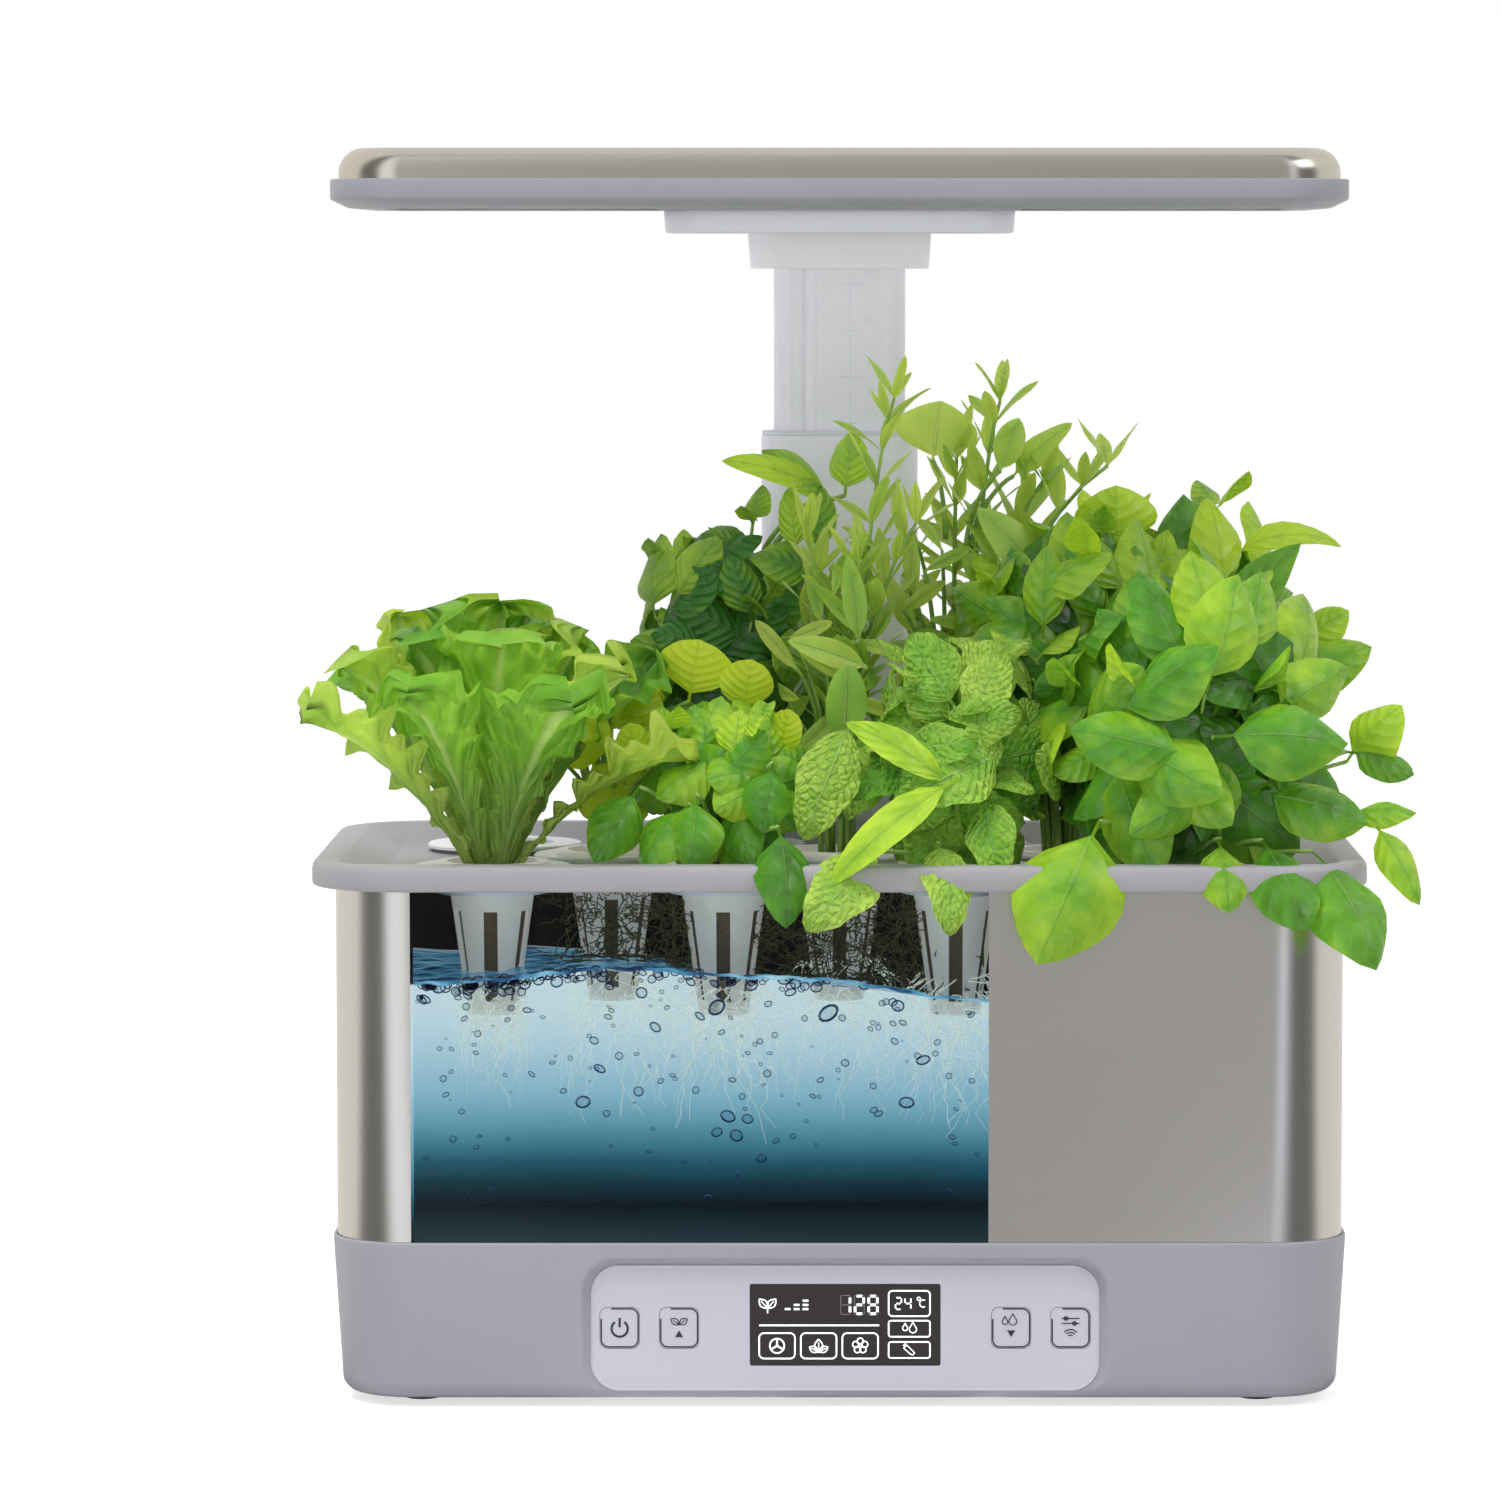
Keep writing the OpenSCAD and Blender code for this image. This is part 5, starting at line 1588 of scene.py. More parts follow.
            out.append(self.cell(edges[k], edges[k + 1], y0, y1, bore))
            low, high = self.bench.deck_floor - 0.6, self.bench.deck_floor + 1.4
            collar = [(self.hole, low), (self.collar, low), (self.collar, high), (self.hole, high)]
            rings = [at_height(r * circle + (x, y + self.bench.y0), z) for r, z in collar]
            out.append(Surface.grid(np.stack(rings)[:, ::-1], True, True))
        low, high = self.bench.box("fill_door")
        door = (low[0] - 0.3, low[1] - self.bench.y0 - 0.3, high[0] + 0.3, high[1] - self.bench.y0 + 0.6)

        def port(turn: Array) -> Array:
            """Rectangle round the flap, met by rays from its middle."""
            cx, cy = (door[0] + door[2]) / 2, (door[1] + door[3]) / 2
            cos, sin = np.cos(turn), np.sin(turn)
            wide = (door[2] - cx) / np.maximum(np.abs(cos), 1e-9)
            reach = np.minimum(wide, (door[3] - cy) / np.maximum(np.abs(sin), 1e-9))
            return np.column_stack([cx + reach * cos, cy + reach * sin])

        out.append(self.cell(self.port_left, half_x, -band, band, port, 64))
        return out

    def build(self) -> None:
        """Builds the tray and paints what lies in it."""
        bench, paint = self.bench, self.paint
        lugs = []
        low, high = bench.box("fill_door_pin")
        for x in (low[0] + 0.7, high[0] - 0.7):
            flat = ring(2.4, 4.0, 0.8, 4) + (x, (low[1] + high[1]) / 2)
            rows = [at_height(flat, bench.deck_floor + up) for up in (-0.5, 2.7)]
            lugs.append(Surface.grid(np.stack(rows)[:, ::-1], False, True, True))
        tray = [self.frame_ring(), *self.floor_cells(), *lugs]
        self.add("deck_tray", tray, [paint.deck], "deck", "deck_grey", ["grow_deck"], 28)
        self.coat({
            "herb_rings": paint.white, "lettuce_ring": paint.white, "spare_ring": paint.white,
            "pod_sponges": paint.sponge, "lettuce_sponge": paint.sponge,
            "fill_door": paint.deck, "fill_door_pin": paint.screw,
        })
        self.coat({name: paint.basket for name in frame["nodes"] if name.endswith("_basket")})


# ---- Mast and lamp ----


@dataclass
class Mast(Part):
    """Outer and inner mast, the head block, the bracket plate and the lead inside.

    The lead hangs from the lamp and ends clear of the socket's floor by the slack, which is more
    than the lamp's way down. A rib is its place across the front, its width and its height, and
    one that is less than 0 is a groove.
    """

    slack: float = 24.0
    sleeve_wall: float = 2.2
    tube_wall: float = 2.0
    relief: float = 0.25
    ribs: tuple[Triple, ...] = ((-19.0, 0.7, 0.5), (-13.2, 0.8, -0.9), (-10.0, 0.8, 0.5), (18.6, 0.7, 0.5))
    scale_step: float = 17.7

    def sleeve(self) -> None:
        """Outer mast: a closed tube section with softened top edges."""
        low, high, size, centre = self.bench.extent("mast_sleeve")
        profile = [(0.0, low[2]), (0.0, high[2] - 0.8), (0.25, high[2] - 0.25), (0.7, high[2])]
        profile += [(self.sleeve_wall, high[2]), (self.sleeve_wall, low[2])]
        surface = stack(*size, 9.0, profile, centre, closed=True, arc=16, along=(6, 2))
        self.add("outer_mast", [surface], [self.paint.mast], "base", "mast_metal", ["mast_sleeve"], 50)
        self.coat({"mast_bush": self.paint.mark})

    def inner(self) -> None:
        """Inner mast with upright ribs and a groove: y gains a sum of narrow bell curves in x."""
        low, high, size, centre = self.bench.extent("mast_tube")
        wall = self.tube_wall
        profile = [(0.0, low[2]), (0.0, high[2]), (wall, high[2]), (wall, low[2])]
        surface = stack(*size, 6.0, profile, centre, closed=True, along=(120, 2))
        points = surface.points
        front = points[:, 1] < low[1] + 0.5
        x = points[:, 0] - centre[0]
        shape = sum(height * np.exp(-(((x - place) / width) ** 2)) for place, width, height in self.ribs)
        points[:, 1] -= np.where(front, np.minimum(shape, self.relief), 0)
        marks = Signs(low[1] - 0.1, 0.2)
        top = high[2] - 12
        marks.line([(4.2, top - 66), (4.2, top)], 0.35)
        for k in range(5):
            z = top - 4 - self.scale_step * k
            if z > low[2] + 4:
                marks.line([(1.2, z), (7.4, z)] if k % 2 else [(-1.2, z), (9.8, z)], 0.4)
                for place, figure in enumerate([9 - k, 5 if k % 2 else 0]):
                    marks.digit(10.6 + 2.6 * place, z + 4.2, 1.5, 2.8, figure, 0.3)
        self.add("inner_mast", [surface], [self.paint.mast], "lamp", "mast_metal", ["mast_tube"], 60)
        self.add("mast_scale", marks.out, [self.paint.mark], "lamp", "mast_metal", smooth_deg=SHARP_SIGN)

    def block(self, node: str, name: str, radius: float, material: Material, taper: float) -> None:
        """Solid block with soft edges that narrows a little towards its underside.

        Args:
            node: The node that it stands for.
            name: The piece's name.
            radius: Radius of its upright corners.
            material: Its finish.
            taper: How much narrower it is at the underside, on each side.
        """
        low, high, size, centre = self.bench.extent(node)
        profile = [(taper + inset, z) for inset, z in rounded_edge(0, low[2], 0.9, False, 4)]
        profile += [(0.0, high[2] - 0.4), (0.2, high[2])]
        surface = stack(*size, radius, profile, centre, arc=16)
        self.add(name, [surface], [material], "lamp", "pale_plastic", [node], smooth_deg=50)

    def build(self) -> None:
        """Builds the mast."""
        self.sleeve()
        self.inner()
        self.block("mast_head", "mast_block", 11.0, self.paint.head, 0.8)
        self.block("lamp_bracket", "bracket_plate", 17.0, self.paint.plate, 0.6)
        self.coat({"lamp_screws": self.paint.screw})
        low, high, size, centre = self.bench.extent("lamp_lead")
        heights = np.linspace(low[2] + self.slack, high[2], 12)
        path = np.stack([np.full(12, centre[0]), np.full(12, centre[1]), heights], axis=1)
        lead = tube(path, size[0] / 2, 16)
        self.add("mast_lead", [lead], [self.paint.lead], "lamp", "lead_black", ["lamp_lead"], 50)


@dataclass
class Lamp(Part):
    """Grey rim under a rounded steel cover, with the light board behind milky glass."""

    radius: float = 26.0
    edge: float = 9.0

    def rim(self) -> None:
        """Rim as one closed section, and the pad for the bracket."""
        low, high, size, centre = self.bench.extent("lamp_rim")
        z0, z1 = low[2], high[2]
        profile = [(15.0, z0), (7.2, z0), (6.4, z0 + 0.15), (0.5, z0 + 2.9), (0.1, z0 + 3.5)]
        profile += [(0.0, z0 + 4.2), (0.0, z1 - 0.7), (0.2, z1 - 0.2), (0.7, z1), (3.2, z1), (3.2, z1 - 3)]
        profile += [(12.0, z1 - 3), (12.0, z0 + 1.2), (15.0, z0 + 1.2)]
        surface = stack(*size, self.radius, profile, centre, closed=True, arc=18)
        under, _, plate_size, _ = self.bench.extent("lamp_bracket")
        y0, y1 = under[1] - 2, high[1] - 11
        pad = stack(plate_size[0] + 4, y1 - y0, 3.0, [(0, z0), (0, z0 + 4.4)], (centre[0], (y0 + y1) / 2))
        self.add("lamp_frame", [surface, pad], [self.paint.rim], "lamp", "grey_shell", ["lamp_rim"], 35)

    def cover(self) -> None:
        """Steel cover with a rounded upper edge."""
        low, high, size, centre = self.bench.extent("lamp_cover")
        profile = [(0.0, low[2])] + rounded_edge(0.0, high[2], self.edge, True, 12)
        surface = stack(*size, self.radius - 3, profile, centre, arc=24, along=(8, 4))
        self.add("lamp_shell", [surface], [self.paint.lamp_steel], "lamp", "lamp_steel", ["lamp_cover"], 40)

    def build(self) -> None:
        """Builds the lamp."""
        self.rim()
        self.cover()
        paint = self.paint
        self.coat({"led_board": paint.board_white, "led_chips": paint.chip, "diffuser": paint.milk})


# ---- Herbs ----


@dataclass(frozen=True)
class Habit:
    """How one kind of herb grows."""

    greens: Greens
    stems: int
    pairs: int
    length: Pair
    ratio: float
    belly: float = 0.8
    blunt: float = 0.9
    fold: float = 0.12
    cup: float = 0.3
    rise: Pair = (10.0, 45.0)
    droop: Pair = (20.0, 60.0)
    stalk: float = 0.16
    tone: Pair = (0.25, 0.75)
    crinkle: float = 0.0
    teeth: float = 0.0
    ruffle: float = 0.0
    fan: float = 0.0
    stem_radius: float = 1.3
    bare: float = 0.25
    tip_size: float = 0.55
    per_node: int = 2

    def shade(self, age: float) -> float:
        """Tone of a leaf, from its first tone at an age of 0 to its last at 1; a crown adds painted light
        and shade into the age it passes.
        """
        return self.tone[0] + (self.tone[1] - self.tone[0]) * age


class Leaves:
    """Collects leaves and turns all of them into one surface at once."""

    def __init__(self, habit: Habit, rows: int = 11, columns: int = 7) -> None:
        """Starts with no leaves."""
        self.habit = habit
        self.rows, self.columns = rows, columns
        self.base: list[Array] = []
        self.aim: list[Array] = []
        self.face: list[Array] = []
        self.numbers: list[tuple[float, float, float, float, float]] = []

    def add(
        self, base: Array, aim: Array, face: Array, length: float, width: float, droop: float, tone: float
    ) -> None:
        """Adds one leaf.

        Args:
            base: Where its stalk begins.
            aim: Its direction there.
            face: Where its upper side looks.
            length: Its length along the bend.
            width: Its width.
            droop: Angle by which it bends down to its tip.
            tone: From 0, old and dark, to 1, young; in a crown it also carries painted light and shade.
        """
        aim = unit(aim)
        self.base.append(base)
        self.aim.append(aim)
        self.face.append(square_to(aim, face))
        self.numbers.append((length, width, droop, tone, float(len(self.base) % 7)))

    def span(
        self, base: Array, tip: Array, toward: Array, width: float, bend: float, tone: float, twist: float
    ) -> None:
        """Adds one leaf from base to tip as an arc of the angle bend that bulges toward a side.

        The chord c and the bulge n give aim = c cos(bend / 2) + n sin(bend / 2), and the arc is
        longer than its chord by (bend / 2) / sin(bend / 2).

        Args:
            base: Where it begins.
            tip: Where it ends.
            toward: The side to which it bulges.
            width: Its width.
            bend: Its bend from base to tip.
            tone: From 0, old and dark, to 1, young; in a crown it also carries painted light and shade.
            twist: Angle by which the bulge is turned about the chord.
        """
        reach = float(np.linalg.norm(tip - base))
        c = (tip - base) / reach
        n = square_to(c, toward)
        n = n * math.cos(twist) + np.cross(c, n) * math.sin(twist)
        half = max(bend / 2, 1e-3)
        aim = c * math.cos(half) + n * math.sin(half)
        face = n * math.cos(half) - c * math.sin(half)
        self.add(base, aim, face, reach * half / math.sin(half), width, bend, tone)

    def surface(self) -> Surface:
        """All leaves as one stack of grids.

        With s along and t across, the midrib bends through droop x s, the half width is
        (sin(pi s^belly))^blunt beyond the stalk, or for a fan s^1.9 (1 - s^9)^0.5, and a point is
        lifted off it by width x (fold |t| - cup t^2) plus a sway, ruffles and quilting.
        """
        habit = self.habit
        base, aim, face = (np.array(v)[:, None, None] for v in (self.base, self.aim, self.face))
        length, width, droop, tone, kind = (v[:, None, None] for v in np.array(self.numbers).T)
        across = np.cross(aim, face)
        s, t = np.meshgrid(np.linspace(0, 1, self.rows), np.linspace(-1, 1, self.columns), indexing="ij")
        s = 0.5 * s + 0.25 * (1 - np.cos(math.pi * s))
        bend = np.where(np.abs(droop) < 1e-3, 1e-3, droop)
        sine, cosine = np.sin(bend * s)[..., None], np.cos(bend * s)[..., None]
        blade = np.clip((s - habit.stalk) / (1 - habit.stalk), 0, 1)
        oval = np.sin(math.pi * blade**habit.belly) ** habit.blunt
        fan = (0.16 + 0.84 * blade**1.9) * np.sqrt(1 - blade**9)
        half = width / 2 * (oval * (1 - habit.fan) + fan * habit.fan)
        half = half * (1 + habit.teeth * np.sin(2 * math.pi * 9.5 * blade) * np.abs(t) ** 3)
        half = np.maximum(half, 0.55 * (1 - blade) + 0.04)
        size = np.abs(t)
        lift = half * (habit.fold * size - habit.cup * t**2)
        lift = lift + half * 0.2 * np.sin(5.5 * blade + 2 * kind) * t * size
        quilt = np.sin(11 * math.pi * (blade - 0.3 * size)) * np.sin(math.pi * size) * (blade > 0)
        lift = lift + habit.crinkle * quilt
        wave = np.sin(2 * math.pi * (3.2 + 0.35 * kind) * blade + kind)
        wave = wave + 0.8 * np.sin(2 * math.pi * 9.3 * blade + 2 * kind + 2 * t)
        crest = 0.9 * np.sin(2 * math.pi * 2.7 * t + 3 * kind) * blade**6
        lift = lift + habit.ruffle * (wave * size**2.5 * np.sqrt(blade) + crest)
        centre = base + (length / bend)[..., None] * (sine * aim - (1 - cosine) * face)
        normal = face * cosine + aim * sine
        points = centre + across * (half * t)[..., None] + normal * lift[..., None]
        values = {"run": blade, "side": t, "tone": tone}
        values = {key: np.broadcast_to(value, points.shape[:3]) for key, value in values.items()}
        return Surface.many(points, values=values)


@dataclass(frozen=True)
class Herb:
    """One planted pod: stems from the pod's middle, a crown of leaves, and single ones.

    The top, the reach and the low end are the crown's, and its number is that of its leaves. A
    single leaf is base x, y, z, tip x, y, z, width, bend in degrees and tone, and a shoot is the
    place of a stem's top. Heights are over the deck's rim, and y is from the body's middle.
    """

    name: str
    x: float
    y: float
    top: float
    reach: float
    seed: int
    crown: int
    low: float
    lean: Pair = (0.0, 0.0)
    shoots: tuple[Triple, ...] = ()
    singles: tuple[tuple[float, ...], ...] = ()

    @property
    def habit(self) -> Habit:
        """How its kind grows."""
        return HABITS[self.name]


LANCE = Habit(Greens.BASIL, 0, 0, (30, 40), 0.3, 0.8, 0.8, 0.25, 0.2)
HABITS: dict[str, Habit] = {
    "small_basil": Habit(Greens.BASIL, 5, 3, (20, 27), 0.84, 0.78, 0.62, 0.02, 0.6, tone=(0.3, 0.8)),
    "seedlings": Habit(
        Greens.LIME, 5, 1, (24, 30), 1.0, 0.85, 0.5, 0.05, 0.25, (10, 50), (20, 60), 0.2, (0.5, 1.0),
        bare=0.8, tip_size=0.9,
    ),
    "mint": Habit(
        Greens.MINT, 6, 3, (26, 38), 0.66, 0.82, 0.62, 0.12, 0.2, (0, 40), (35, 80), 0.1, (0.3, 0.9),
        crinkle=0.8, teeth=0.07,
    ),
    "broad_basil": Habit(Greens.BASIL, 6, 3, (34, 50), 0.58, 0.78, 0.62, 0.1, 0.62, tone=(0.05, 0.85)),
    "rosemary": Habit(
        Greens.SAGE, 4, 9, (20, 31), 0.24, 0.9, 0.6, 0.2, 0.1, (20, 55), (-10, 50), 0.05, (0.3, 0.95),
        stem_radius=1.1, tip_size=0.75, bare=0.3, per_node=3,
    ),
    "sage": Habit(
        Greens.SAGE, 4, 8, (20, 30), 0.3, 0.85, 0.7, 0.16, 0.2, (20, 55), (0, 50), 0.08, (0.35, 0.95),
        tip_size=0.8, bare=0.35, per_node=3,
    ),
    "green_basil": Habit(Greens.BASIL, 6, 3, (32, 48), 0.54, 0.78, 0.62, 0.1, 0.6, tone=(0.05, 0.9)),
    "tall_basil": Habit(
        Greens.BALM, 6, 3, (28, 38), 0.66, 0.76, 0.62, 0.12, 0.5,
        tone=(0.05, 0.9), teeth=0.05, crinkle=0.3,
    ),
    "back_basil": Habit(Greens.BASIL, 6, 3, (32, 46), 0.52, 0.78, 0.62, 0.1, 0.6, tone=(0.15, 1.05)),
    "lettuce": Habit(
        Greens.LETTUCE, 1, 8, (70, 92), 0.62, 1.55, 0.7, 0.3, -0.1,
        stalk=0.02, ruffle=4.6, crinkle=1.1, fan=1.0, teeth=0.07,
    ),
}
HERBS: tuple[Herb, ...] = (
    Herb("small_basil", -PITCH / 2, -ROW, 56, 39, 2, crown=52, low=2, singles=(
        (-72, -70, 26, -88, -84, 0, 20, 45, 0.45), (-54, -76, 20, -71, -88, -2, 21, 50, 0.5),
        (-51, -82, 24, -53, -90, -2, 22, 50, 0.5), (-44, -66, 36, -66, -74, 22, 21, 50, 0.6),
        (-24, -74, 35, -28, -84, 11, 18, 45, 0.4), (-39, -70, 21, -31, -84, -1, 16, 45, 0.35),
        (-22, -88, 13, -19, -112, -21, 21, 70, 0.3),
    )),
    Herb("mint", PITCH / 2, -ROW, 82, 43, 3, crown=54, low=0, singles=(
        (4, -64, 49, -13, -76, 7, 22, 40, 0.75), (14, -86, 4, -12, -112, -22, 23, 60, 0.75),
        (35, -86, 7, 39, -110, -24, 19, 60, 0.7), (31, -60, 35, 4, -66, 21, 16, 40, 0.3),
        (15, -56, 41, 33, -66, 21, 18, 40, 0.5), (52, -76, 22, 57, -98, -5, 18, 50, 0.6),
        (44, -88, 31, -4, -104, -7, 16, 50, 0.8), (42, -86, 25, 2, -84, 50, 13, 70, 0.75),
    )),
    Herb("broad_basil", 1.5 * PITCH, -ROW, 106, 63, 4, crown=96, low=0, singles=(
        (148, -56, 37, 116, -44, 88, 32, 40, 0.45), (97, -60, 39, 77, -66, 30, 16, 40, 0.6),
        (112, -64, 34, 92, -74, 11, 19, 45, 0.55), (136, -86, 9, 133, -84, 40, 19, 30, 0.55),
        (135, -90, 9, 138, -108, -16, 19, 50, 0.6), (93, -86, 15, 70, -112, -34, 41, 70, 0.65),
        (150, -72, 24, 189, -78, 13, 26, 50, 0.5), (151, -84, 8, 165, -112, -22, 26, 60, 0.35),
        (169, -84, 4, 190, -112, -36, 29, 60, 0.4), (185, -30, 32, 205, -34, 53, 23, 50, 0.75),
        (185, -32, 36, 209, -40, 28, 15, 40, 0.3), (181, -60, 13, 208, -64, 16, 12, 60, 0.6),
        (192, -64, 13, 208, -78, -16, 14, 50, 0.65),
    )),
    Herb("seedlings", -PITCH, 0, 68, 36, 5, crown=14, low=14, singles=(
        (-55, -30, 54, -51, -34, 77, 28, 25, 0.95), (-36, -34, 49, -32, -38, 70, 20, 25, 0.9),
        (-22, -52, 34, -18, -56, 53, 14, 25, 0.95), (-72, -50, 28, -76, -54, 48, 14, 30, 0.9),
        (-81, -44, 40, -98, -48, 51, 14, 30, 0.75), (-109, 10, 56, -118, 6, 30, 22, 30, 0.9),
    )),
    Herb("rosemary", 0, 0, 120, 30, 6, crown=30, low=20,
        shoots=((20, -8, 164), (7, -20, 104), (28, -6, 118), (-12, 2, 112)), singles=(
        (10, -20, 66, -19, -26, 76, 10, 40, 0.7), (7, -20, 76, 3, -22, 107, 9, 20, 0.5),
        (1, -46, 40, 3, -46, 69, 16, 25, 0.35),
    )),
    Herb("green_basil", PITCH, 0, 124, 52, 7, crown=80, low=20, singles=(
        (106, -6, 73, 109, -4, 110, 18, 20, 0.55), (92, -10, 95, 83, -24, 63, 18, 30, 0.7),
        (76, -16, 86, 40, -28, 61, 21, 60, 0.55), (108, -22, 72, 93, -34, 44, 15, 40, 0.6),
        (73, -40, 49, 62, -56, 19, 28, 50, 0.5), (59, 0, 104, 53, -10, 75, 18, 30, 0.75),
    )),
    Herb("tall_basil", -PITCH / 2, ROW, 126, 46, 8, crown=72, low=10, lean=(-2, -6), singles=(
        (-34, 40, 106, -51, 36, 112, 16, 80, 0.55), (-21, 30, 91, -55, 24, 101, 22, 70, 0.35),
        (-7, 24, 97, -34, 20, 105, 17, 60, 0.6), (-50, 20, 72, -70, 16, 76, 16, 60, 0.45),
        (-65, 16, 72, -74, 12, 59, 7, 40, 0.4), (-5, 34, 127, -44, 28, 140, 11, 105, 0.95),
        (-3, 30, 124, -29, 28, 144, 15, 60, 0.75), (-16, 30, 105, -19, 30, 130, 11, 20, 1.0),
        (-8, 26, 105, -7, 26, 131, 13, 25, 0.6), (2, 34, 127, 5, 34, 151, 16, 20, 0.85),
    )),
    Herb("sage", PITCH / 2, ROW, 136, 40, 9, crown=44, low=30,
        shoots=((60, 40, 162), (100, 34, 138), (44, 52, 140), (76, 40, 132)), singles=(
        (35, 50, 140, 38, 50, 162, 31, 25, 0.85), (65, 40, 134, 87, 38, 154, 14, 30, 0.7),
        (60, 36, 136, 67, 34, 156, 13, 20, 0.6), (83, 20, 87, 51, 14, 123, 18, 60, 0.6),
    )),
    Herb("back_basil", 1.5 * PITCH, ROW, 132, 61, 10, crown=88, low=14, singles=(
        (104, 30, 106, 103, 28, 131, 31, 20, 0.85), (115, 20, 74, 122, 20, 115, 18, 20, 0.8),
        (148, 34, 92, 137, 34, 119, 15, 20, 0.6), (142, 20, 69, 171, 14, 110, 19, 60, 0.45),
        (146, 30, 103, 187, 26, 108, 13, 110, 0.95), (160, 10, 56, 197, 6, 72, 24, 60, 0.55),
        (170, 16, 72, 189, 14, 85, 16, 50, 0.7),
    )),
)


@dataclass
class Garden(Part):
    """Every herb, the lettuce and their roots."""

    lettuce_place: Pair = (-1.5 * PITCH, -ROW)
    slim: float = 2.4
    lanced: tuple[str, ...] = ("mint", "tall_basil", "back_basil")

    def stem(self, start: Array, end: Array) -> Array:
        """Bowed stem of 12 points: it goes outwards by s^1.7 and up by 1 - (1 - s)^1.25."""
        s = np.linspace(0, 1, 12)[:, None]
        return start + (end - start) * np.hstack([s**1.7, s**1.7, 1 - (1 - s) ** 1.25])

    def fine(self, habit: Habit) -> Leaves:
        """A collector with as many points a leaf as its edge asks for."""
        return Leaves(habit, 17, 9) if habit.teeth or habit.ruffle else Leaves(habit)

    def herb(self, herb: Herb) -> tuple[list[Surface], list[Surface]]:
        """Leaves and stems of one herb.

        Args:
            herb: Which one.

        Returns:
            The surfaces of its leaves, and those of its stems.
        """
        rng = np.random.default_rng(SEED + herb.seed)
        habit, y0, rim = herb.habit, self.bench.y0, self.bench.rim
        leaves, stems = self.fine(habit), []
        start = np.array([herb.x, herb.y + y0, self.bench.ring_top - 4.0])
        ends = [np.array([x, y + y0, rim + z]) for x, y, z in herb.shoots]
        for k in range(habit.stems if not ends else 0):
            turn = 2 * math.pi * (k + rng.uniform(-0.25, 0.25)) / habit.stems
            wide = herb.reach * (0.25 if k == 0 else rng.uniform(0.4, 0.7))
            high = herb.top * (1.0 if k == 0 else rng.uniform(0.6, 0.95)) - habit.length[0] * 0.35
            x, y = herb.x + herb.lean[0], herb.y + y0 + herb.lean[1]
            ends.append(np.array([x, y, rim + high]) + wide * outward(turn))
        for k, end in enumerate(ends):
            turn = 2.4 * k
            path = self.stem(start + 4 * outward(turn), end)
            stems.append(tube(path, np.linspace(habit.stem_radius, habit.stem_radius * 0.55, 12), 6))
            self.dress(leaves, path, rng)
        stems += self.crown(leaves, herb, rng)
        lances = Leaves(LANCE)
        for bx, by, bz, tx, ty, tz, width, bend, tone in herb.singles:
            base, tip = np.array([bx, by + y0, rim + bz]), np.array([tx, ty + y0, rim + tz])
            slim = np.linalg.norm(tip - base) > self.slim * width
            target = lances if slim and herb.name in self.lanced else leaves
            toward = np.array([0.12 * rng.uniform(-1, 1), -0.8, 0.6])
            target.span(base, tip, toward, width, math.radians(bend), tone, rng.uniform(-0.3, 0.3))
            inner = start * 0.7 + base * 0.3
            inner[2] = max(rim - 2, min(base[2], tip[2]) - 30)
            stems.append(tube(self.stem(inner, base), np.linspace(1.2, 0.8, 12), 6))
        return [leaves.surface()] + ([lances.surface()] if lances.base else []), stems

    def crown(self, leaves: Leaves, herb: Herb, rng: np.random.Generator) -> list[Surface]:
        """Leaves laid like shingles round the crown, by the golden angle, each on a stalk.

        A leaf lies across the crown's outward direction. Its tip points up at the top of the
        crown, down at its foot, and to either side between them.

        Args:
            leaves: Where the leaves go.
            herb: Which herb.
            rng: Its dice.

        Returns:
            The stalks.
        """
        habit, stalks, y0 = herb.habit, [], self.bench.y0
        top = herb.top * 0.9
        middle, tall = (top + herb.low) / 2, (top - herb.low) / 2
        mean = sum(habit.length) / 2
        up = np.array([0.0, 0.0, 1.0])
        lean_x, lean_y = herb.lean
        heart = np.array([herb.x + lean_x * 0.6, herb.y + y0 + lean_y * 0.6, self.bench.rim + middle])
        for k in range(herb.crown):
            step = (k + 0.5) / herb.crown
            high = 0.92 * (2 * step - 1)
            flat = outward(GOLDEN * k + rng.uniform(-0.3, 0.3))
            share = rng.uniform(0.5, 1.0)
            wide = max(herb.reach - 0.32 * mean, 6.0) * math.sqrt(max(1 - high * high, 0.08)) * share
            place = heart + flat * wide + up * (tall * high * (0.75 + 0.25 * share))
            out = flat * math.sqrt(max(1 - high * high, 0.1)) + (0, -0.35, 0.7 * high + 0.3)
            out = unit(out)
            climb = square_to(out, up)
            phi = math.radians(90 * (1 - high) + rng.normal(0, 24)) * (1 if k % 2 else -1)
            lie = climb * math.cos(phi) + np.cross(out, climb) * math.sin(phi) + out * 0.3
            size = rng.uniform(*habit.length) * (1 - 0.2 * max(high, 0))
            base = place - lie * size * 0.35
            bend = math.radians(rng.uniform(*habit.droop))
            # Tone rises with height, partly for the younger upper leaves and partly as painted light on
            # them, and falls towards the heart as painted shade on the inner leaves.
            tone = habit.shade(0.3 * step + 0.9 * (share - 0.6) + 0.4 * rng.random())
            width = size * habit.ratio * rng.uniform(0.9, 1.12)
            leaves.span(base, base + lie * size, out, width, bend, tone, rng.uniform(-0.35, 0.35))
            foot = np.array([herb.x, herb.y + y0, self.bench.ring_top - 3]) + 3 * flat
            root = foot + (base - foot) * (0.2, 0.2, 0.45 if k % 3 else 0.0)
            path = self.stem(root, base)
            if k % 3:
                path = np.concatenate([path[::2], base[None]])
            stalks.append(tube(path, np.linspace(1.2, 0.6, len(path)), 5))
        return stalks

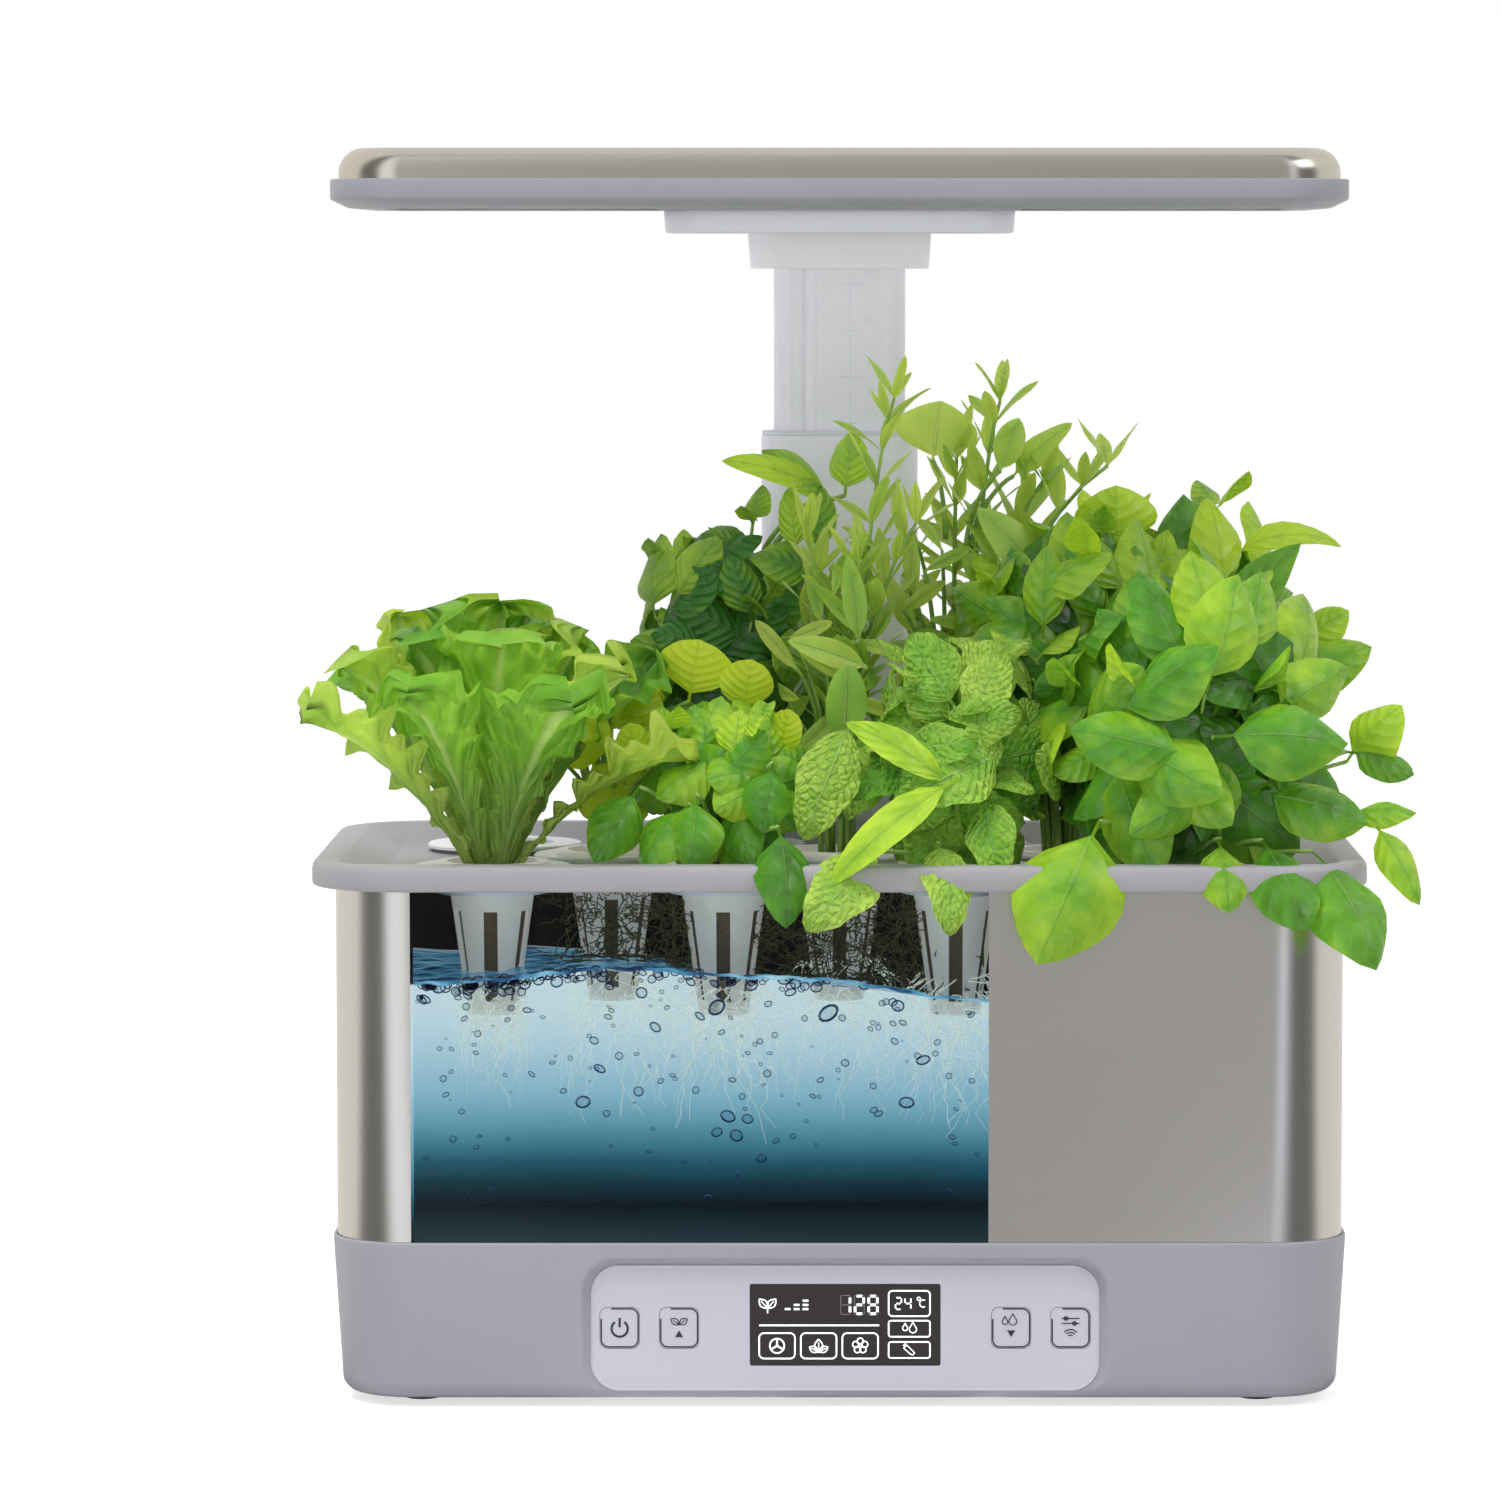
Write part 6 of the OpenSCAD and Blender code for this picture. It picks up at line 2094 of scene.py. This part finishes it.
    def dress(self, leaves: Leaves, path: Array, rng: np.random.Generator) -> None:
        """Sets whorls of leaves up one stem, each turned from the last.

        Args:
            leaves: Where the leaves go.
            path: The stem's points.
            rng: The herb's dice.
        """
        habit = leaves.habit
        turn = rng.uniform(0, math.pi)
        for pair in range(habit.pairs):
            share = habit.bare + (1 - habit.bare) * pair / max(1, habit.pairs - 1)
            place = share * (len(path) - 1)
            index = min(int(place), len(path) - 2)
            base = path[index] + (path[index + 1] - path[index]) * (place - index)
            size = 1 - (1 - habit.tip_size) * share**2
            turn += math.pi / habit.per_node + rng.uniform(-0.3, 0.3)
            for k in range(habit.per_node):
                around = turn + 2 * math.pi * k / habit.per_node + rng.uniform(-0.25, 0.25)
                rise = math.radians(rng.uniform(*habit.rise) + 24 * share)
                flat = outward(around)
                aim = flat * math.cos(rise) + (0, 0, math.sin(rise))
                face = -flat * math.sin(rise) + (0, -0.4, math.cos(rise))
                length = rng.uniform(*habit.length) * size
                droop = math.radians(rng.uniform(*habit.droop)) * (1 - 0.4 * share)
                tone = habit.shade(0.55 * share + 0.45 * rng.random())
                width = length * habit.ratio * rng.uniform(0.9, 1.1)
                leaves.add(base, aim, face, length, width, droop, tone)

    def lettuce(self, x: float, y: float) -> Surface:
        """Ruffled rosette: leaves rise from the pod, the outer ones longer and leaning out."""
        rng = np.random.default_rng(SEED + 90)
        leaves = Leaves(HABITS["lettuce"], 56, 33)
        count = 19
        for k in range(count):
            outer = k / (count - 1)
            rise = math.radians(86 - 26 * outer + rng.uniform(-4, 4))
            flat = outward(GOLDEN * k + 0.6)
            base = np.array([x, y + self.bench.y0, self.bench.ring_top - 4.0]) + flat * (3 + 5 * outer)
            aim = flat * math.cos(rise) + (0, 0, math.sin(rise))
            face = -flat * math.sin(rise) + (0, 0, math.cos(rise))
            length = 76 + 22 * math.sin(math.pi * (0.3 + 0.5 * outer)) + rng.uniform(-6, 5)
            droop = math.radians(4 + 40 * outer + rng.uniform(-6, 10))
            width = length * rng.uniform(0.56, 0.7)
            leaves.add(base, aim, face, length, width, droop, rng.uniform(0.1, 0.9))
        return leaves.surface()

    def roots(
        self, x: float, y: float, seed: int, count: int = 90, reach: float = 24.0, drop: float = 44.0
    ) -> Surface:
        """Fine roots that leave a basket's slots: each walks outwards and down in small turns.

        Args:
            x: Middle of the basket.
            y: Middle of the basket, from the body's middle.
            seed: Number of its dice.
            count: How many roots.
            reach: How far the longest get outwards.
            drop: How far the longest hang down.

        Returns:
            All roots as one surface.
        """
        rng = np.random.default_rng(SEED + seed)
        steps = 12
        turn = rng.uniform(0, 2 * math.pi, count)
        high = rng.uniform(0, 1, count)
        wander = np.cumsum(rng.normal(0, 0.5, (count, steps)), axis=1)
        s = np.linspace(0, 1, steps)[None]
        wide = reach * (1 - 0.5 * high)[:, None] * s**0.8
        out = (13.0 - 4.5 * high)[:, None] + wide * rng.uniform(0.4, 1.0, (count, 1))
        around = turn[:, None] + wander * 0.3
        px = x + out * np.cos(around)
        py = y + self.bench.y0 + out * np.sin(around)
        start = self.bench.ring_top - 39 - 19 * high
        pz = start[:, None] - drop * rng.uniform(0.2, 1.0, (count, 1)) * s**1.3 + 1.6 * wander
        path = np.stack([px, py, pz], axis=-1)
        girth = (0.34 * (1 - 0.6 * s))[..., None]
        wide, tall = girth * np.cos(THIRDS), girth * np.sin(THIRDS) * np.ones((count, 1, 1))
        turn = turn[:, None, None]
        section = np.stack([-wide * np.sin(turn), wide * np.cos(turn), tall], axis=-1)
        return Surface.many(path[:, :, None, :] + section, wrap_columns=True)

    def build(self) -> None:
        """Grows everything."""
        paint = self.paint
        slots = {entry["node"]: entry["material_slot"] for entry in frame["record"]["subparts"]}
        for herb in HERBS:
            node = f"{herb.name}_plant"
            leaves, stems = self.herb(herb)
            skins = [paint.leaves[herb.habit.greens], paint.leaves[Greens.BASIL]]
            for extra in leaves[1:]:
                extra.slot = 1
            self.add(f"{herb.name}_leaves", leaves, skins[: len(leaves)], "deck", slots[node], [node])
            self.add(f"{herb.name}_stems", stems, [paint.stem], "deck", slots[node])
            roots = self.roots(herb.x, herb.y, herb.seed)
            self.add(f"{herb.name}_roots", [roots], [paint.root], "deck", "sponge_brown")
        leaves, skin = self.lettuce(*self.lettuce_place), paint.leaves[Greens.LETTUCE]
        self.add("lettuce_leaves", [leaves], [skin], "lettuce_pod", "leaf_light", ["lettuce_plant"])
        roots = self.roots(*self.lettuce_place, 70, 120, 4.0, 30.0)
        self.add("lettuce_roots", [roots], [paint.root], "lettuce_pod", "sponge_brown")


def main() -> None:
    """Builds every sub-assembly."""
    logging.basicConfig(level=logging.INFO, format="%(name)s: %(message)s")
    bench, paint = Bench(), Palette()
    Studio().build(front=bench.y0 - SteelWrap.depth / 2)
    BaseUnit(bench, paint).build()
    Controls(bench, paint).build()
    SteelWrap(bench, paint).build()
    Water(bench, paint).build()
    Deck(bench, paint).build()
    Mast(bench, paint).build()
    Lamp(bench, paint).build()
    Garden(bench, paint).build()


if __name__ == "__main__":
    main()
